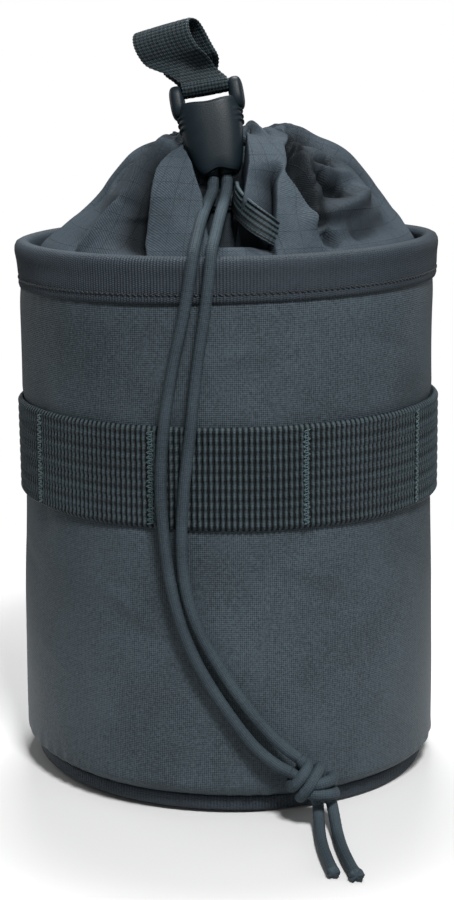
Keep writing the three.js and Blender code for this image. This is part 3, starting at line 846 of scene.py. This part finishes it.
def add_rim(finishes):
    """The tape folded over the rim: a U with a soft rolled top, ribbed across, and its
    line of stitches just above the lower edge."""
    columns = 1716
    angle = turns(columns)[None, :]
    ribs = 0.07 * np.cos(columns / 4 * angle)
    share = np.linspace(0, 1, 28)[:, None]
    leg = 9.4
    fold = np.pi * 1.5
    run = share * (2 * leg + fold)
    turn = np.clip((run - leg) / fold, 0, 1) * np.pi
    low = 128.0
    middle = 52.4
    radius = middle + 1.5 * boxed(np.cos(turn), 0.75)
    z = low + np.minimum(run, leg) + 1.3 * np.sin(turn) ** 0.75 - np.maximum(run - leg - fold, 0)
    out_r, out_z = np.cos(turn), np.sin(turn)
    half = 0.42 * np.clip(np.minimum(run, 2 * leg + fold - run) / 0.5 + 0.35, 0, 1)
    sway = ripple(41, angle, 0 * z, 7, 0.16, 60) * smoothstep(z, 128, 136)
    flare = 0.7 * bell((angle - np.radians(272)) / 0.2) * smoothstep(z, 129, 138)
    roll = 0.25 * bell((z - 136.5) / 1.6) * (out_r > 0)
    stitched = 0.22 * bell((z - STITCH_Z) / 0.5) * (out_r > 0.9)
    lift = ripple(42, angle, 0 * z, 6, 0.3, 70) * smoothstep(z, 130, 138)
    outer_r = radius + (half + ribs) * out_r + roll + flare + sway - stitched
    outer_z = z + (half + ribs) * out_z + lift
    inner_r = (radius - half * out_r + flare + sway)[::-1]
    inner_z = (z - half * out_z + lift)[::-1]
    r = np.vstack([outer_r, inner_r])
    height = np.vstack([outer_z, inner_z])
    points = settle(around(r, np.broadcast_to(angle, r.shape), height))
    u = np.append(angle, TURN) * 54.5
    v = np.concatenate([run[:, 0], run[::-1, 0], run[:1, 0]])
    uv = np.stack(np.broadcast_arrays(u[None, :], v[:, None]), -1)
    tape = surface(points, uv, round_u=True, round_v=True)
    add_piece("rim_tape", [tape], finishes["tape"], "root", "binding_tape", "rim_binding")
    line = stitches(54.35, STITCH_Z, 224, 1.25, 0.2)
    add_piece("rim_stitching", line, finishes["dark_thread"], "root", "thread")


def stitches(radius, z, count, length, thick):
    """A line of short slanted stitches lying round the body."""
    shapes = []
    for angle in turns(count):
        reach = np.linspace(-0.5, 0.5, 7)
        path = around(radius - 0.4 * (2 * reach) ** 4, angle + reach * length / radius, z - 0.5 * reach)
        shapes.append(tube(settle(path), thick, 6, side=(0, 0, 1)))
    return shapes


def add_band(finishes):
    """One-inch webbing: upright ribs 1.4 mm apart, crossed by eleven lengthwise rows."""
    per_rib = 7
    angle = turns(BAND_RIBS * per_rib)[None, :]
    v = np.linspace(0, 1, 52)[:, None] * (BAND_HIGH - BAND_LOW)
    row = np.floor(v / BAND_ROW * 0.999)
    crown = np.abs(np.sin(np.pi * v / BAND_ROW)) ** 0.5
    rib = np.abs(np.cos(BAND_RIBS * angle / 2 + 0.12 * np.where(row % 2 > 0, 1, -1))) ** 0.8
    edge = smoothstep(np.minimum(v, BAND_HIGH - BAND_LOW - v), 0, 0.8)
    between = 0.3 * (1 - near_tacks(angle, 7)) - 0.15
    tight = ripple(51, angle, v, 5, 0.1, 40)
    height = 0.7 * rib * (0.55 + 0.45 * crown) * edge
    outer = 54.15 + between + tight + height + 0.25 * edge
    inner = (53.85 + between + tight)[::-1][::12]
    down = v[::-1][::12]
    shell = ring_wall(outer, inner, BAND_LOW + v, BAND_LOW + down, angle[0])
    add_piece("band_webbing", [shell], finishes["webbing"], "root", "webbing", "webbing_band")
    for i, tack in enumerate(TACK_ANGLES):
        add_piece(f"tack_stitching_{i + 1}", tack_shapes(tack, i), finishes["thread"], "root", "thread",
                  f"bar_tack_{i + 1}")


def tack_shapes(angle, seed):
    """A bar tack: close zigzag stitches over a few straight ones."""
    random = np.random.default_rng(100 + seed)
    count = 40
    rise = np.linspace(-11.6, 11.6, count) + random.uniform(-0.1, 0.1, count)
    side = np.where(np.arange(count) % 2, 0.8, -0.8) + random.uniform(-0.2, 0.2, count)
    middle = (BAND_LOW + BAND_HIGH) / 2
    zigzag = around(54.95 + 0.12 * np.cos(np.arange(count) * np.pi), angle + side / 55, middle + rise)
    shapes = [tube(settle(curve(zigzag, 0.4)), 0.2, 8, side=(0, 0, 1))]
    for shift in (-0.35, 0.35):
        up = np.linspace(-11.4, 11.4, 30)
        path = around(54.8, angle + shift / 55 + 0 * up, middle + up)
        shapes.append(tube(settle(path), 0.18, 8, side=(1, 0, 0)))
    return shapes


def disc_wall(radius, low, high, dome, wave, rows=26, columns=200):
    """A flat round pad as one closed surface, from the middle of its top over the edge to
    the middle of its underside."""
    share = np.linspace(0.02, 1, rows)
    r = np.concatenate([share, share[::-1]])[:, None] * radius
    angle = turns(columns)[None, :]
    half = (high - low) / 2
    edge = np.sqrt(np.clip(1 - (r / radius) ** 14, 0, 1))
    side = np.repeat([1, -1], rows)[:, None]
    z = (low + high) / 2 + side * half * (0.25 + 0.75 * edge) + dome * (1 - (r / radius) ** 2) * (side > 0)
    z = z + wave * ripple(61, angle, r, 6, 1, 40) * (side > 0)
    points = settle(around(r, np.broadcast_to(angle, z.shape), z))
    flat = np.concatenate([points[..., :2], points[:, :1, :2]], 1)
    return surface(points, flat, round_u=True, cap_low=True, cap_high=True)


def add_base(finishes):
    """The base: cloth, stiff padding and lining, and the ribbed tape bound round their edge."""
    panel = disc_wall(49.6, 0.0, 1.0, 0.0, 0.05)
    add_piece("base_cloth", [panel], finishes["shell"], "root", "shell_cloth", "base_panel")
    pad = disc_wall(49.3, 1.25, 3.9, 0.25, 0.06)
    piece = add_piece("base_padding", [pad], finishes["foam"], "root", "foam", "base_foam")
    inner = disc_wall(47.0, 4.3, 4.75, 0.25, 0.1)
    add_piece("base_inner_cloth", [inner], finishes["lining"], "root", "lining_cloth", "base_lining")

    columns = 1600
    angle = turns(columns)[None, :]
    ribs = 0.07 * np.cos(columns / 4 * angle)
    section = turns(20)[:, None]
    sway = ripple(71, angle, 0 * section, 7, 0.16, 30)
    r = 50.75 + (1.0 + ribs) * boxed(np.cos(section), 0.7) + sway
    z = 2.05 + 1.95 * boxed(np.sin(section), 0.8)
    points = settle(around(r, np.broadcast_to(angle, r.shape), z))
    u = np.append(angle, TURN) * 51.7
    uv = np.stack(np.broadcast_arrays(u[None, :], (np.append(section, TURN) * 1.6)[:, None]), -1)
    ring = surface(points, uv, round_u=True, round_v=True)
    add_piece("base_tape", [ring], finishes["tape"], "root", "binding_tape", "base_binding")


# ---------------------------------------------------------------- the gathered collar

COLLAR_PROFILE = [
    # radius, height
    (49.1, 126.5), (49.1, 132), (48.9, 137.5), (46.9, 142), (43.3, 148.2), (39.5, 154), (35, 159.2),
    (29, 163.6), (22, 166.2), (16, 166.4), (12.4, 164), (10.6, 160.2),
]
COLLAR_BELOW = 11.5  # mm of cloth below the rim

COLLAR_STEPS = [
    # depth (mm), width (mm), deep side (-1 left, 1 right), edge of (degrees, mm up), top first
    (10.5, 6.0, -1, [(-25, 36), (-26.5, 31.5), (-27.5, 23.5), (-25.5, 15), (-24.5, 8.2), (-23.5, 1.8),
                     (-23, -3)]),
    (3.5, 6.5, -1, [(-44, 15), (-45.5, 11.5), (-47.5, 6.2), (-50.5, 1.8), (-52, -2)]),
    (6.0, 3.5, -1, [(21, 26), (20, 24), (18.5, 17.8), (16.5, 9.8), (14.5, 2), (14, -3)]),
    (10.5, 6.0, 1, [(52, 44), (38, 38.5), (27, 32.8), (22, 24), (24.5, 16.2), (27, 10), (28, 7)]),
    (2.0, 4.0, 1, [(28, 8), (29.5, 2), (30, -3)]),
]

# The sides of the cleft that holds the lock and cords: mm up from the rim, degrees.
CLEFT_LEFT = [(0, -5), (4, -6), (12, -8), (18, -9.5), (27, -15.5), (35.5, -24.5), (42, -34), (50, -50)]
CLEFT_RIGHT = [(0, 15), (6, 16), (10, 16), (13, 10), (16, 6), (18, 6.5), (27, 9.5), (35.5, 11), (42, 14),
               (50, 30)]

COLLAR_FOLDS = [
    # height (mm, minus is a hollow), half width (mm), route of (degrees, mm up from the rim)
    (-2.2, 4.5, [(-34, 12), (-29, 3)]),
    (1.6, 2.0, [(-43, 15), (-46.5, 6), (-50, 0)]),
    (2.0, 5.0, [(-50, 42), (-43, 28), (-41, 14)]),
    (-3.4, 1.8, [(-66, 42), (-60, 28), (-58, 18)]),
    (3.6, 2.4, [(55, 41), (38.5, 30.2), (36, 24.5), (35.5, 18.8), (31.5, 13.5), (28.5, 10.5)]),
    (-3.8, 3.6, [(46, 37), (50.5, 30.5), (63, 27)]),
    (-4.6, 3.4, [(39, 23), (43, 19.5), (52, 17)]),
    (1.0, 2.0, [(41, 27), (50, 23.5), (62, 21.5)]),
    (3.4, 2.8, [(28.5, 9), (37, 11), (51, 13.4), (62, 16)]),
    (-2.4, 3.6, [(42, 5), (52, 6), (70, 7.5)]),
    (-2.0, 2.2, [(31.5, 6.5), (35, 1.5)]),
    (-3.5, 3.0, [(78, 46), (74, 30), (80, 14)]),
    (-4.6, 2.8, [(-74, 46), (-70, 30), (-76, 12)]),
    (2.0, 4.0, [(92, 44), (90, 26), (95, 8)]),
]


def back_folds():
    """Valleys and ridges that run out from the hem round the sides and the back."""
    random = np.random.default_rng(7)
    folds = []
    for middle in (103, 126, 150, 172, 196, 219, 241, 263):
        turn = middle + random.uniform(-5, 5)
        bend = random.uniform(-9, 9)
        foot = random.uniform(4, 16)
        folds.append((-random.uniform(3.6, 5.6), random.uniform(1.8, 3.0),
                      [(turn, 47), (turn + bend, 32), (turn + 0.5 * bend, foot)]))
        folds.append((random.uniform(1.4, 2.4), random.uniform(3.2, 4.6),
                      [(turn + 11, 45), (turn + 11 + bend, 28), (turn + 9, 8)]))
    return folds


def near_route(angle, up, radius, route):
    """Distance from each place to a route of straight legs, and the share of it passed."""
    nearest = np.full(up.shape, np.inf)
    passed = np.zeros(up.shape)
    legs = len(route) - 1
    for i in range(legs):
        apart, share = near_leg(angle, up, radius, route[i], route[i + 1])
        closer = apart < nearest
        nearest = np.where(closer, apart, nearest)
        passed = np.where(closer, (i + share) / legs, passed)
    return nearest, passed


def crowded(count):
    """Angles all the way round, twice as close at the front."""
    even = turns(count)
    return even - 0.5 * np.sin(even)


def collar_points(columns, rows):
    """The domed profile turned round the axis, then a deep cleft at the front for the lock
    and the cords, the big folds, fine pleats at the hem, and small wrinkles. It also gives the painted shade
    for folds and cleft."""
    profile = curve(COLLAR_PROFILE, 0.25)
    length = length_along(profile)
    along = np.interp(np.linspace(0, 1, rows), [0, 0.16, 1], [0, COLLAR_BELOW, length[-1]])
    r = np.interp(along, length, profile[:, 0])[:, None]
    z = np.interp(along, length, profile[:, 1])[:, None]
    slope = np.stack([np.gradient(r[:, 0], along), np.gradient(z[:, 0], along)], -1)
    out_r, out_z = slope[:, 1][:, None], -slope[:, 0][:, None]
    up = (along - COLLAR_BELOW)[:, None]
    up, angle = np.broadcast_arrays(up, crowded(columns)[None, :])

    signed = (angle + np.pi) % TURN - np.pi
    degrees = np.degrees(signed)
    free = smoothstep(up, -1.5, 5)
    out = np.zeros(up.shape)
    # Painted shade: how much the finish darkens the cloth, more in deep hollows and steps.
    fold_shade = np.zeros(up.shape)
    for height, wide, route in COLLAR_FOLDS + back_folds():
        apart, share = near_route(angle, up, np.maximum(r, 12), route)
        fade = smoothstep(share, -0.12, 0.12) * (1 - smoothstep(share, 0.85, 1.12))
        shape = bell(apart / wide) if height > 0 else 1 / (1 + (apart / wide) ** 2) ** 1.5
        out = out + height * shape * fade
        fold_shade = fold_shade - min(height, 0) * shape * fade / 7
    lap = np.zeros(up.shape)
    for depth, wide, side, edge in COLLAR_STEPS:
        edge_degrees, edge_up = np.array(edge[::-1]).T
        beside = side * np.radians(degrees - np.interp(up[:, 0], edge_up, edge_degrees)[:, None]) * r
        low, high = edge_up[0], edge_up[-1]
        within = smoothstep(up, low - 1, low + 3) * (1 - smoothstep(up, high - 5, high + 1))
        sunk = within * smoothstep(beside, -0.5, 1.0) * np.exp(-np.maximum(beside, 0) / wide)
        out = out - depth * sunk
        fold_shade = fold_shade + depth * sunk / 8
        over = bell((beside + 0.5) / 1.7) - 0.8 * bell((beside - 1.5) / 1.2)
        lap = lap + 0.17 * depth * side * within * over
    out = out * free * (1 - smoothstep(up, 46, 53))

    left, right = (np.interp(up[:, 0], *np.transpose(side))[:, None] for side in (CLEFT_LEFT, CLEFT_RIGHT))
    soft = 4.0
    edge = smoothstep(degrees, left, left + soft) * (1 - smoothstep(degrees, right - soft, right))
    reach = smoothstep(r, 10, 17) * (1 - smoothstep(r, 42.5, 48.0))
    cleft = 14.5 * edge * reach
    hollow = 4.5 * bell((degrees - 9) / 7) * bell((up - 5) / 6) * free
    rising = smoothstep(up, -3, 15) * (1 - smoothstep(up, 34, 50))
    drawn_in = rising * (13.0 * bell((degrees + 105) / 52) + 4.6 * bell((degrees - 105) / 48))

    pleats = smoothstep(up, 33, 50) * (1.5 * np.cos(26 * angle + 2.2 * np.sin(3 * angle))
                                       + 0.6 * np.cos(43 * angle + 1.0))
    fine = free * (ripple(81, angle, up, 10, 0.1, 9) + ripple(82, angle, up, 8, 0.3, 22))
    out = out + pleats * (1 - 0.8 * edge) + fine
    radius = r + out * out_r - hollow - drawn_in - 0.3 * cleft * reach * (out_r > 0.5)
    across = radius * np.sin(angle)
    droop = 2.3 * (smoothstep(-across, 5, 14) + smoothstep(across, 13, 26)) * smoothstep(up, 24, 40)
    height = z + out * out_z - cleft - droop * (1 - smoothstep(up, 50, 54))
    # Painted shade is strongest in deep folds and across the cleft.
    fold_shade = np.clip(1.7 * fold_shade * free + 0.7 * edge * reach, 0, 0.95)
    return radius, angle + lap * free / np.maximum(r, 15), height, along, fold_shade


def add_collar(finishes):
    """The gathered cloth as one closed sheet. How deep each place lies in a fold or the cleft
    is kept on it as an attribute, and its finish darkens the cloth there as painted shade."""
    columns, rows = 600, 130
    radius, angle, height, along, fold_shade = collar_points(columns, rows)
    thick = 0.4
    inner = slice(None, None, -4)
    r = np.vstack([radius, radius[inner] - thick])
    z = np.vstack([height, height[inner] - thick])
    points = settle(around(r, np.vstack([angle, angle[inner]]), z))
    u = np.append(crowded(columns), TURN) * 46
    v = np.concatenate([along, along[inner], along[:1]])
    uv = np.stack(np.broadcast_arrays(u[None, :], v[:, None]), -1)
    shape = surface(points, uv, round_u=True, round_v=True)
    piece = add_piece("gathered_collar", [shape], finishes["collar"], "root", "collar_cloth", "collar")
    # Painted shade for the folds and the cleft, read by the collar's finish.
    painted_shade = piece.data.attributes.new("fold_depth", "FLOAT", "POINT")
    painted_shade.data.foreach_set("value", np.vstack([fold_shade, fold_shade[inner]]).astype(np.float32).ravel())
    add_hem(finishes)


def add_hem(finishes):
    """The hem round the draw cord: a fat ring drawn into close pleats."""
    angle = turns(416)[None, :]
    section = turns(28)[:, None]
    pleat = 0.42 * np.abs(np.cos(13 * angle + 0.6 * np.sin(5 * angle))) + 0.12 * np.cos(39 * angle)
    size = 2.15 + pleat
    r = HEM_R + size * np.cos(section) * 0.95
    z = HEM_Z + 0.1 + size * np.sin(section) * 1.05
    points = around(r, np.broadcast_to(angle, r.shape), z)
    u = np.append(angle, TURN) * 46
    uv = np.stack(np.broadcast_arrays(u[None, :], (np.append(section, TURN) * 2.4)[:, None]), -1)
    ring = surface(points, uv, round_u=True, round_v=True)
    add_piece("hem_channel", [ring], finishes["collar"], "root", "collar_cloth", "collar_hem")


# ---------------------------------------------------------------- lock, tether and tab

LOCK_LEVELS = [
    # height, half width, half depth
    (0, 4.8, 3.6), (2, 5.8, 3.9), (5, 6.6, 4.2), (9, 7.3, 4.5), (14, 7.7, 4.8), (18.5, 7.7, 4.9),
]
LOCK_ROOM = [(0, 3.7, 2.4), (12, 4.8, 3.4), (18.5, 5.6, 3.8)]
LOCK_TOP = 18.5
BAR_Y = -1.2
BAR_Z = 22.6
BAR_R = 1.1
EAR_Z = 19.8
JAW_Y = -1.7


def oval(levels, z, columns, power=0.75):
    """A level rounded oval at each height, its half sizes read off smooth level curves."""
    smooth = curve(levels, 0.2)
    half_x = np.interp(z, smooth[:, 0], smooth[:, 1])
    half_y = np.interp(z, smooth[:, 0], smooth[:, 2])
    turn = turns(columns)
    x, y = boxed(np.cos(turn), power), boxed(np.sin(turn), power)
    return half_x * x, half_y * y, x, y


def add_lock(finishes):
    """The tapered body as one wall with a window at its back, two ears, a pull bar and the
    shelf that holds the spring. The jaw keeps its own shape and takes the plastic finish."""
    columns, rows = 128, 130
    z = np.linspace(0, LOCK_TOP, rows)[:, None]
    x, y, side, front = oval(LOCK_LEVELS, z, columns)
    grip = sum(bell((z - centre) / 0.36) for centre in (12.4, 13.8, 15.2))
    reach = 0.55 * grip * smoothstep(np.abs(side), 0.74, 0.93)
    lip = 0.25 * bell((z - LOCK_TOP) / 0.5) + 0.12 * bell(z / 0.5)
    x = x + np.sign(x) * (reach - lip * np.abs(side))
    y = y - np.sign(y) * lip * np.abs(front)
    arch = 1.1 * bell(side / 0.55) * (1 - smoothstep(z, 0, 4)) * np.where(front < 0, 1, 0.4)
    dip = -0.7 * bell(side / 0.5) * smoothstep(z, 14, LOCK_TOP)
    height = z + arch + dip
    outer = np.stack([x, y, np.broadcast_to(height, x.shape)], -1)
    room_x, room_y, _, _ = oval(LOCK_ROOM, z, columns)
    inner = np.stack([room_x, room_y, np.broadcast_to(height, x.shape)], -1)
    wall = windowed_wall(outer, inner, rows=(65, 98), columns=(22, 43))
    shapes = [wall]
    for sign in (-1, 1):
        shapes.append(blob((sign * 7.35, 0, EAR_Z), (1.9, 3.3, 4.2), 0.66, 36, 48))
    bar = np.stack(np.broadcast_arrays(np.linspace(-7.2, 7.2, 40), BAR_Y, BAR_Z), -1)
    shapes.append(tube(bar, BAR_R, 24, side=(0, 1, 0)))
    shapes.append(blob((0, -2.2, 16.9), (5.5, 1.5, 0.6), 0.3))
    shapes = [moved(shape, on_lock) for shape in shapes]
    add_piece("lock_body", shapes, finishes["plastic"], "cord_lock", "lock_plastic", "lock_housing")
    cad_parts["lock_jaw"].data.materials.clear()
    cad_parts["lock_jaw"].data.materials.append(finishes["plastic"])


def windowed_wall(outer, inner, rows, columns):
    """A wall between two grids that run alike, joined at its ends, with one opening through
    it. The rows and columns are the grid lines that bound the opening."""
    count_rows, count = outer.shape[:2]
    low, high = rows
    first, last = columns
    r, c = np.meshgrid(np.arange(count_rows - 1), np.arange(count), indexing="ij")
    keep = ~((r >= low) & (r < high) & (c >= first) & (c < last))
    r, c = r[keep], c[keep]
    index = lambda a, b: a * count + b % count
    quad = np.stack([index(r, c), index(r, c + 1), index(r + 1, c + 1), index(r + 1, c)], 1)
    shift = count_rows * count
    bridge = lambda a, b: np.stack([a, b, b + shift, a + shift], 1)
    faces = [quad, quad[:, ::-1] + shift]
    all_round, part_round, part_up = np.arange(count), np.arange(first, last), np.arange(low, high)
    for row, c, turn in ((0, all_round, -1), (count_rows - 1, all_round, 1),
                         (low, part_round, 1), (high, part_round, -1)):
        faces.append(bridge(index(row, c), index(row, c + 1))[:, ::turn])
    for column, turn in ((first, -1), (last, 1)):
        faces.append(bridge(index(part_up, column), index(part_up + 1, column))[:, ::turn])
    vertices = np.vstack([outer.reshape(-1, 3), inner.reshape(-1, 3)])
    face_uv = [np.zeros((len(face), 4, 2)) for face in faces]
    return outward((vertices, faces, face_uv))


def add_spring(finishes):
    """Four coils of wire between the jaw and the shelf."""
    t = np.linspace(0, 1, 160)
    turn = t * 4 * TURN
    path = np.stack([1.25 * np.cos(turn), JAW_Y + 1.25 * np.sin(turn), 10.9 + 5.1 * t], -1)
    coil = moved(tube(path, 0.2, 12, side=(0, 0, 1)), on_lock)
    piece = add_piece("coil_spring", [coil], finishes["steel"], "cord_lock", "spring_steel", "lock_spring")
    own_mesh(piece)


def strap(stations, wide, thick, along, half_width, half_thick, ribs, closes=False):
    """A woven strap: at each station a flat section of a width and a thickness, with ribs
    raised on both faces. The section goes round its edge once."""
    section = np.linspace(0, TURN, 72, endpoint=False)
    across, through = boxed(np.cos(section), 0.45), boxed(np.sin(section), 0.45)
    half_width = np.broadcast_to(half_width, len(stations))[:, None]
    raised = half_thick * through + np.sign(through) * ribs(across * half_width, along[:, None])
    points = (stations[:, None] + (half_width * across)[..., None] * wide[:, None]
              + raised[..., None] * thick[:, None])
    run = np.append(along, 2 * along[-1] - along[-2]) if closes else along
    lie = np.append(across, across[0]) * half_width[0]
    uv = np.stack(np.broadcast_arrays(run[:, None], lie[None, :]), -1)
    return surface(points, uv, round_u=True, round_v=closes, cap_low=not closes, cap_high=not closes)


def add_tether(finishes):
    """The narrow strap on edge, from behind the cords to the collar seam."""
    route = [(2.0, -28.8, 152), (2.4, -33.5, 150.6), (3.8, -38.5, 149), (6.4, -42.4, 147),
             (9.6, -43.8, 144.8), (12.2, -42.6, 143), (14.2, -39.6, 141.8)]
    path = curve(route, 0.18)
    tangent = unit(np.gradient(path, axis=0))
    thick = unit(np.cross(tangent, unit(np.array([0.1, 0.25, 0.96]))))
    wide = unit(np.cross(thick, tangent))
    along = length_along(path)
    ribs = lambda across, run: (0.3 * np.abs(np.cos(across * np.pi / 1.4)) - 0.1
                                + 0.05 * np.cos(run * TURN / 0.9))
    shape = strap(path, wide, thick, along, 3.1, 0.36, ribs)
    piece = add_piece("tether_webbing", [shape], finishes["tether"], None, "webbing", "tether_strap")
    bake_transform(piece)


def add_tab(finishes):
    """The pull tab: a loop of three-quarter-inch webbing round the bar, squeezed between the
    ears, opening out, turning and leaning to the left as it rises."""
    height = 17
    wrap = BAR_R + 0.3 + 0.45  # bar, clearance and half the webbing
    arc = np.linspace(np.pi, TURN, 9)
    profile = [(wrap * math.cos(a), wrap * math.sin(a)) for a in arc]
    profile += [(2.2, 3.2), (3.2, 6.5), (3.7, 11), (3.2, 14.5), (1.8, height - 0.4), (0, height)]
    profile += [(-1.6, height - 0.5), (-2.6, 14.5), (-3, 11), (-2.6, 6.5), (-1.9, 3.2)]
    loop = curve(profile[-2:] + profile + profile[:3], 0.05)
    start = np.argmin(np.linalg.norm(loop[:120] - profile[0], axis=1))
    loop = loop[start:]
    end = len(loop) // 2 + np.argmin(np.linalg.norm(loop[len(loop) // 2:] - profile[0], axis=1))
    loop = loop[:end]
    run = length_along(loop)
    stops = np.linspace(0, run[-1], 360)
    y, h = np.interp(stops, run, loop[:, 0]), np.interp(stops, run, loop[:, 1])

    def place(u, y, h):
        rise = smoothstep(h, 2.2, 9)
        yaw = math.radians(-38) * rise
        lean = 7.2 * (1 - np.square(1 - np.clip((h - 1) / 16, 0, 1)))
        x = u * np.cos(yaw) - y * np.sin(yaw) - lean
        depth = u * np.sin(yaw) + y * np.cos(yaw)
        return np.stack([x, BAR_Y + depth, BAR_Z + h - u * 0.15 * rise], -1)

    half = 5.7 + 3.7 * smoothstep(h, 3, 9)
    centre = (place(half, y, h) + place(-half, y, h)) / 2
    wide = unit(place(half, y, h) - place(-half, y, h))
    tangent = unit(np.roll(centre, -1, 0) - np.roll(centre, 1, 0))
    thick = unit(np.cross(tangent, wide))
    ribs = lambda across, along: (
        0.05 * np.cos(along * TURN / 0.85) * (0.6 + 0.4 * np.cos(across * TURN / 1.7))
        + 0.03 * np.cos(across * TURN / 1.7))
    scallop = 0.08 * np.cos(stops * TURN / 0.85)
    loop = strap(centre, wide, thick, stops, half + scallop, 0.42, ribs, closes=True)
    add_piece("tab_webbing", [moved(loop, on_lock)], finishes["strap"], "tab", "webbing", "pull_tab")


# ---------------------------------------------------------------- everything

def add_floor():
    """A level square that the pouch stands on. It isn't part of the pouch."""
    half = FLOOR_HALF
    corners = [(-half, -half, 0), (half, -half, 0), (half, half, 0), (-half, half, 0)]
    mesh = bpy.data.meshes.new("floor")
    mesh.from_pydata(corners, [], [(0, 1, 2, 3)])
    mesh.materials.append(floor_finish())
    floor = bpy.data.objects.new("floor", mesh)
    bpy.context.scene.collection.objects.link(floor)


place_camera()
light_studio()
add_floor()
finishes = {
    "cord": cord_finish(),
    "shell": shell_finish(),
    "collar": collar_finish(),
    "tape": tape_finish("binding_tape_finish", TAPE),
    "webbing": webbing_finish("webbing_finish", BAND_RIB, BAND_ROW, 1.4, 0.35),
    "strap": webbing_finish("strap_webbing_finish", 0.85, 0.85, 0.5, 0.4),
    "tether": webbing_finish("tether_webbing_finish", 0.8, 1.24, 0.3, 1.5),
    "thread": thread_finish("tack_thread_finish", (0.045, 0.08, 0.09)),
    "dark_thread": thread_finish("seam_thread_finish", (0.010, 0.013, 0.016)),
    "plastic": plastic_finish(),
    "steel": steel_finish(),
    "foam": foam_finish(),
    "lining": lining_finish(),
}
add_tails(finishes["cord"])
add_drawcord(finishes["cord"])
add_body(finishes)
add_rim(finishes)
add_band(finishes)
add_base(finishes)
add_collar(finishes)
add_lock(finishes)
add_spring(finishes)
add_tether(finishes)
add_tab(finishes)
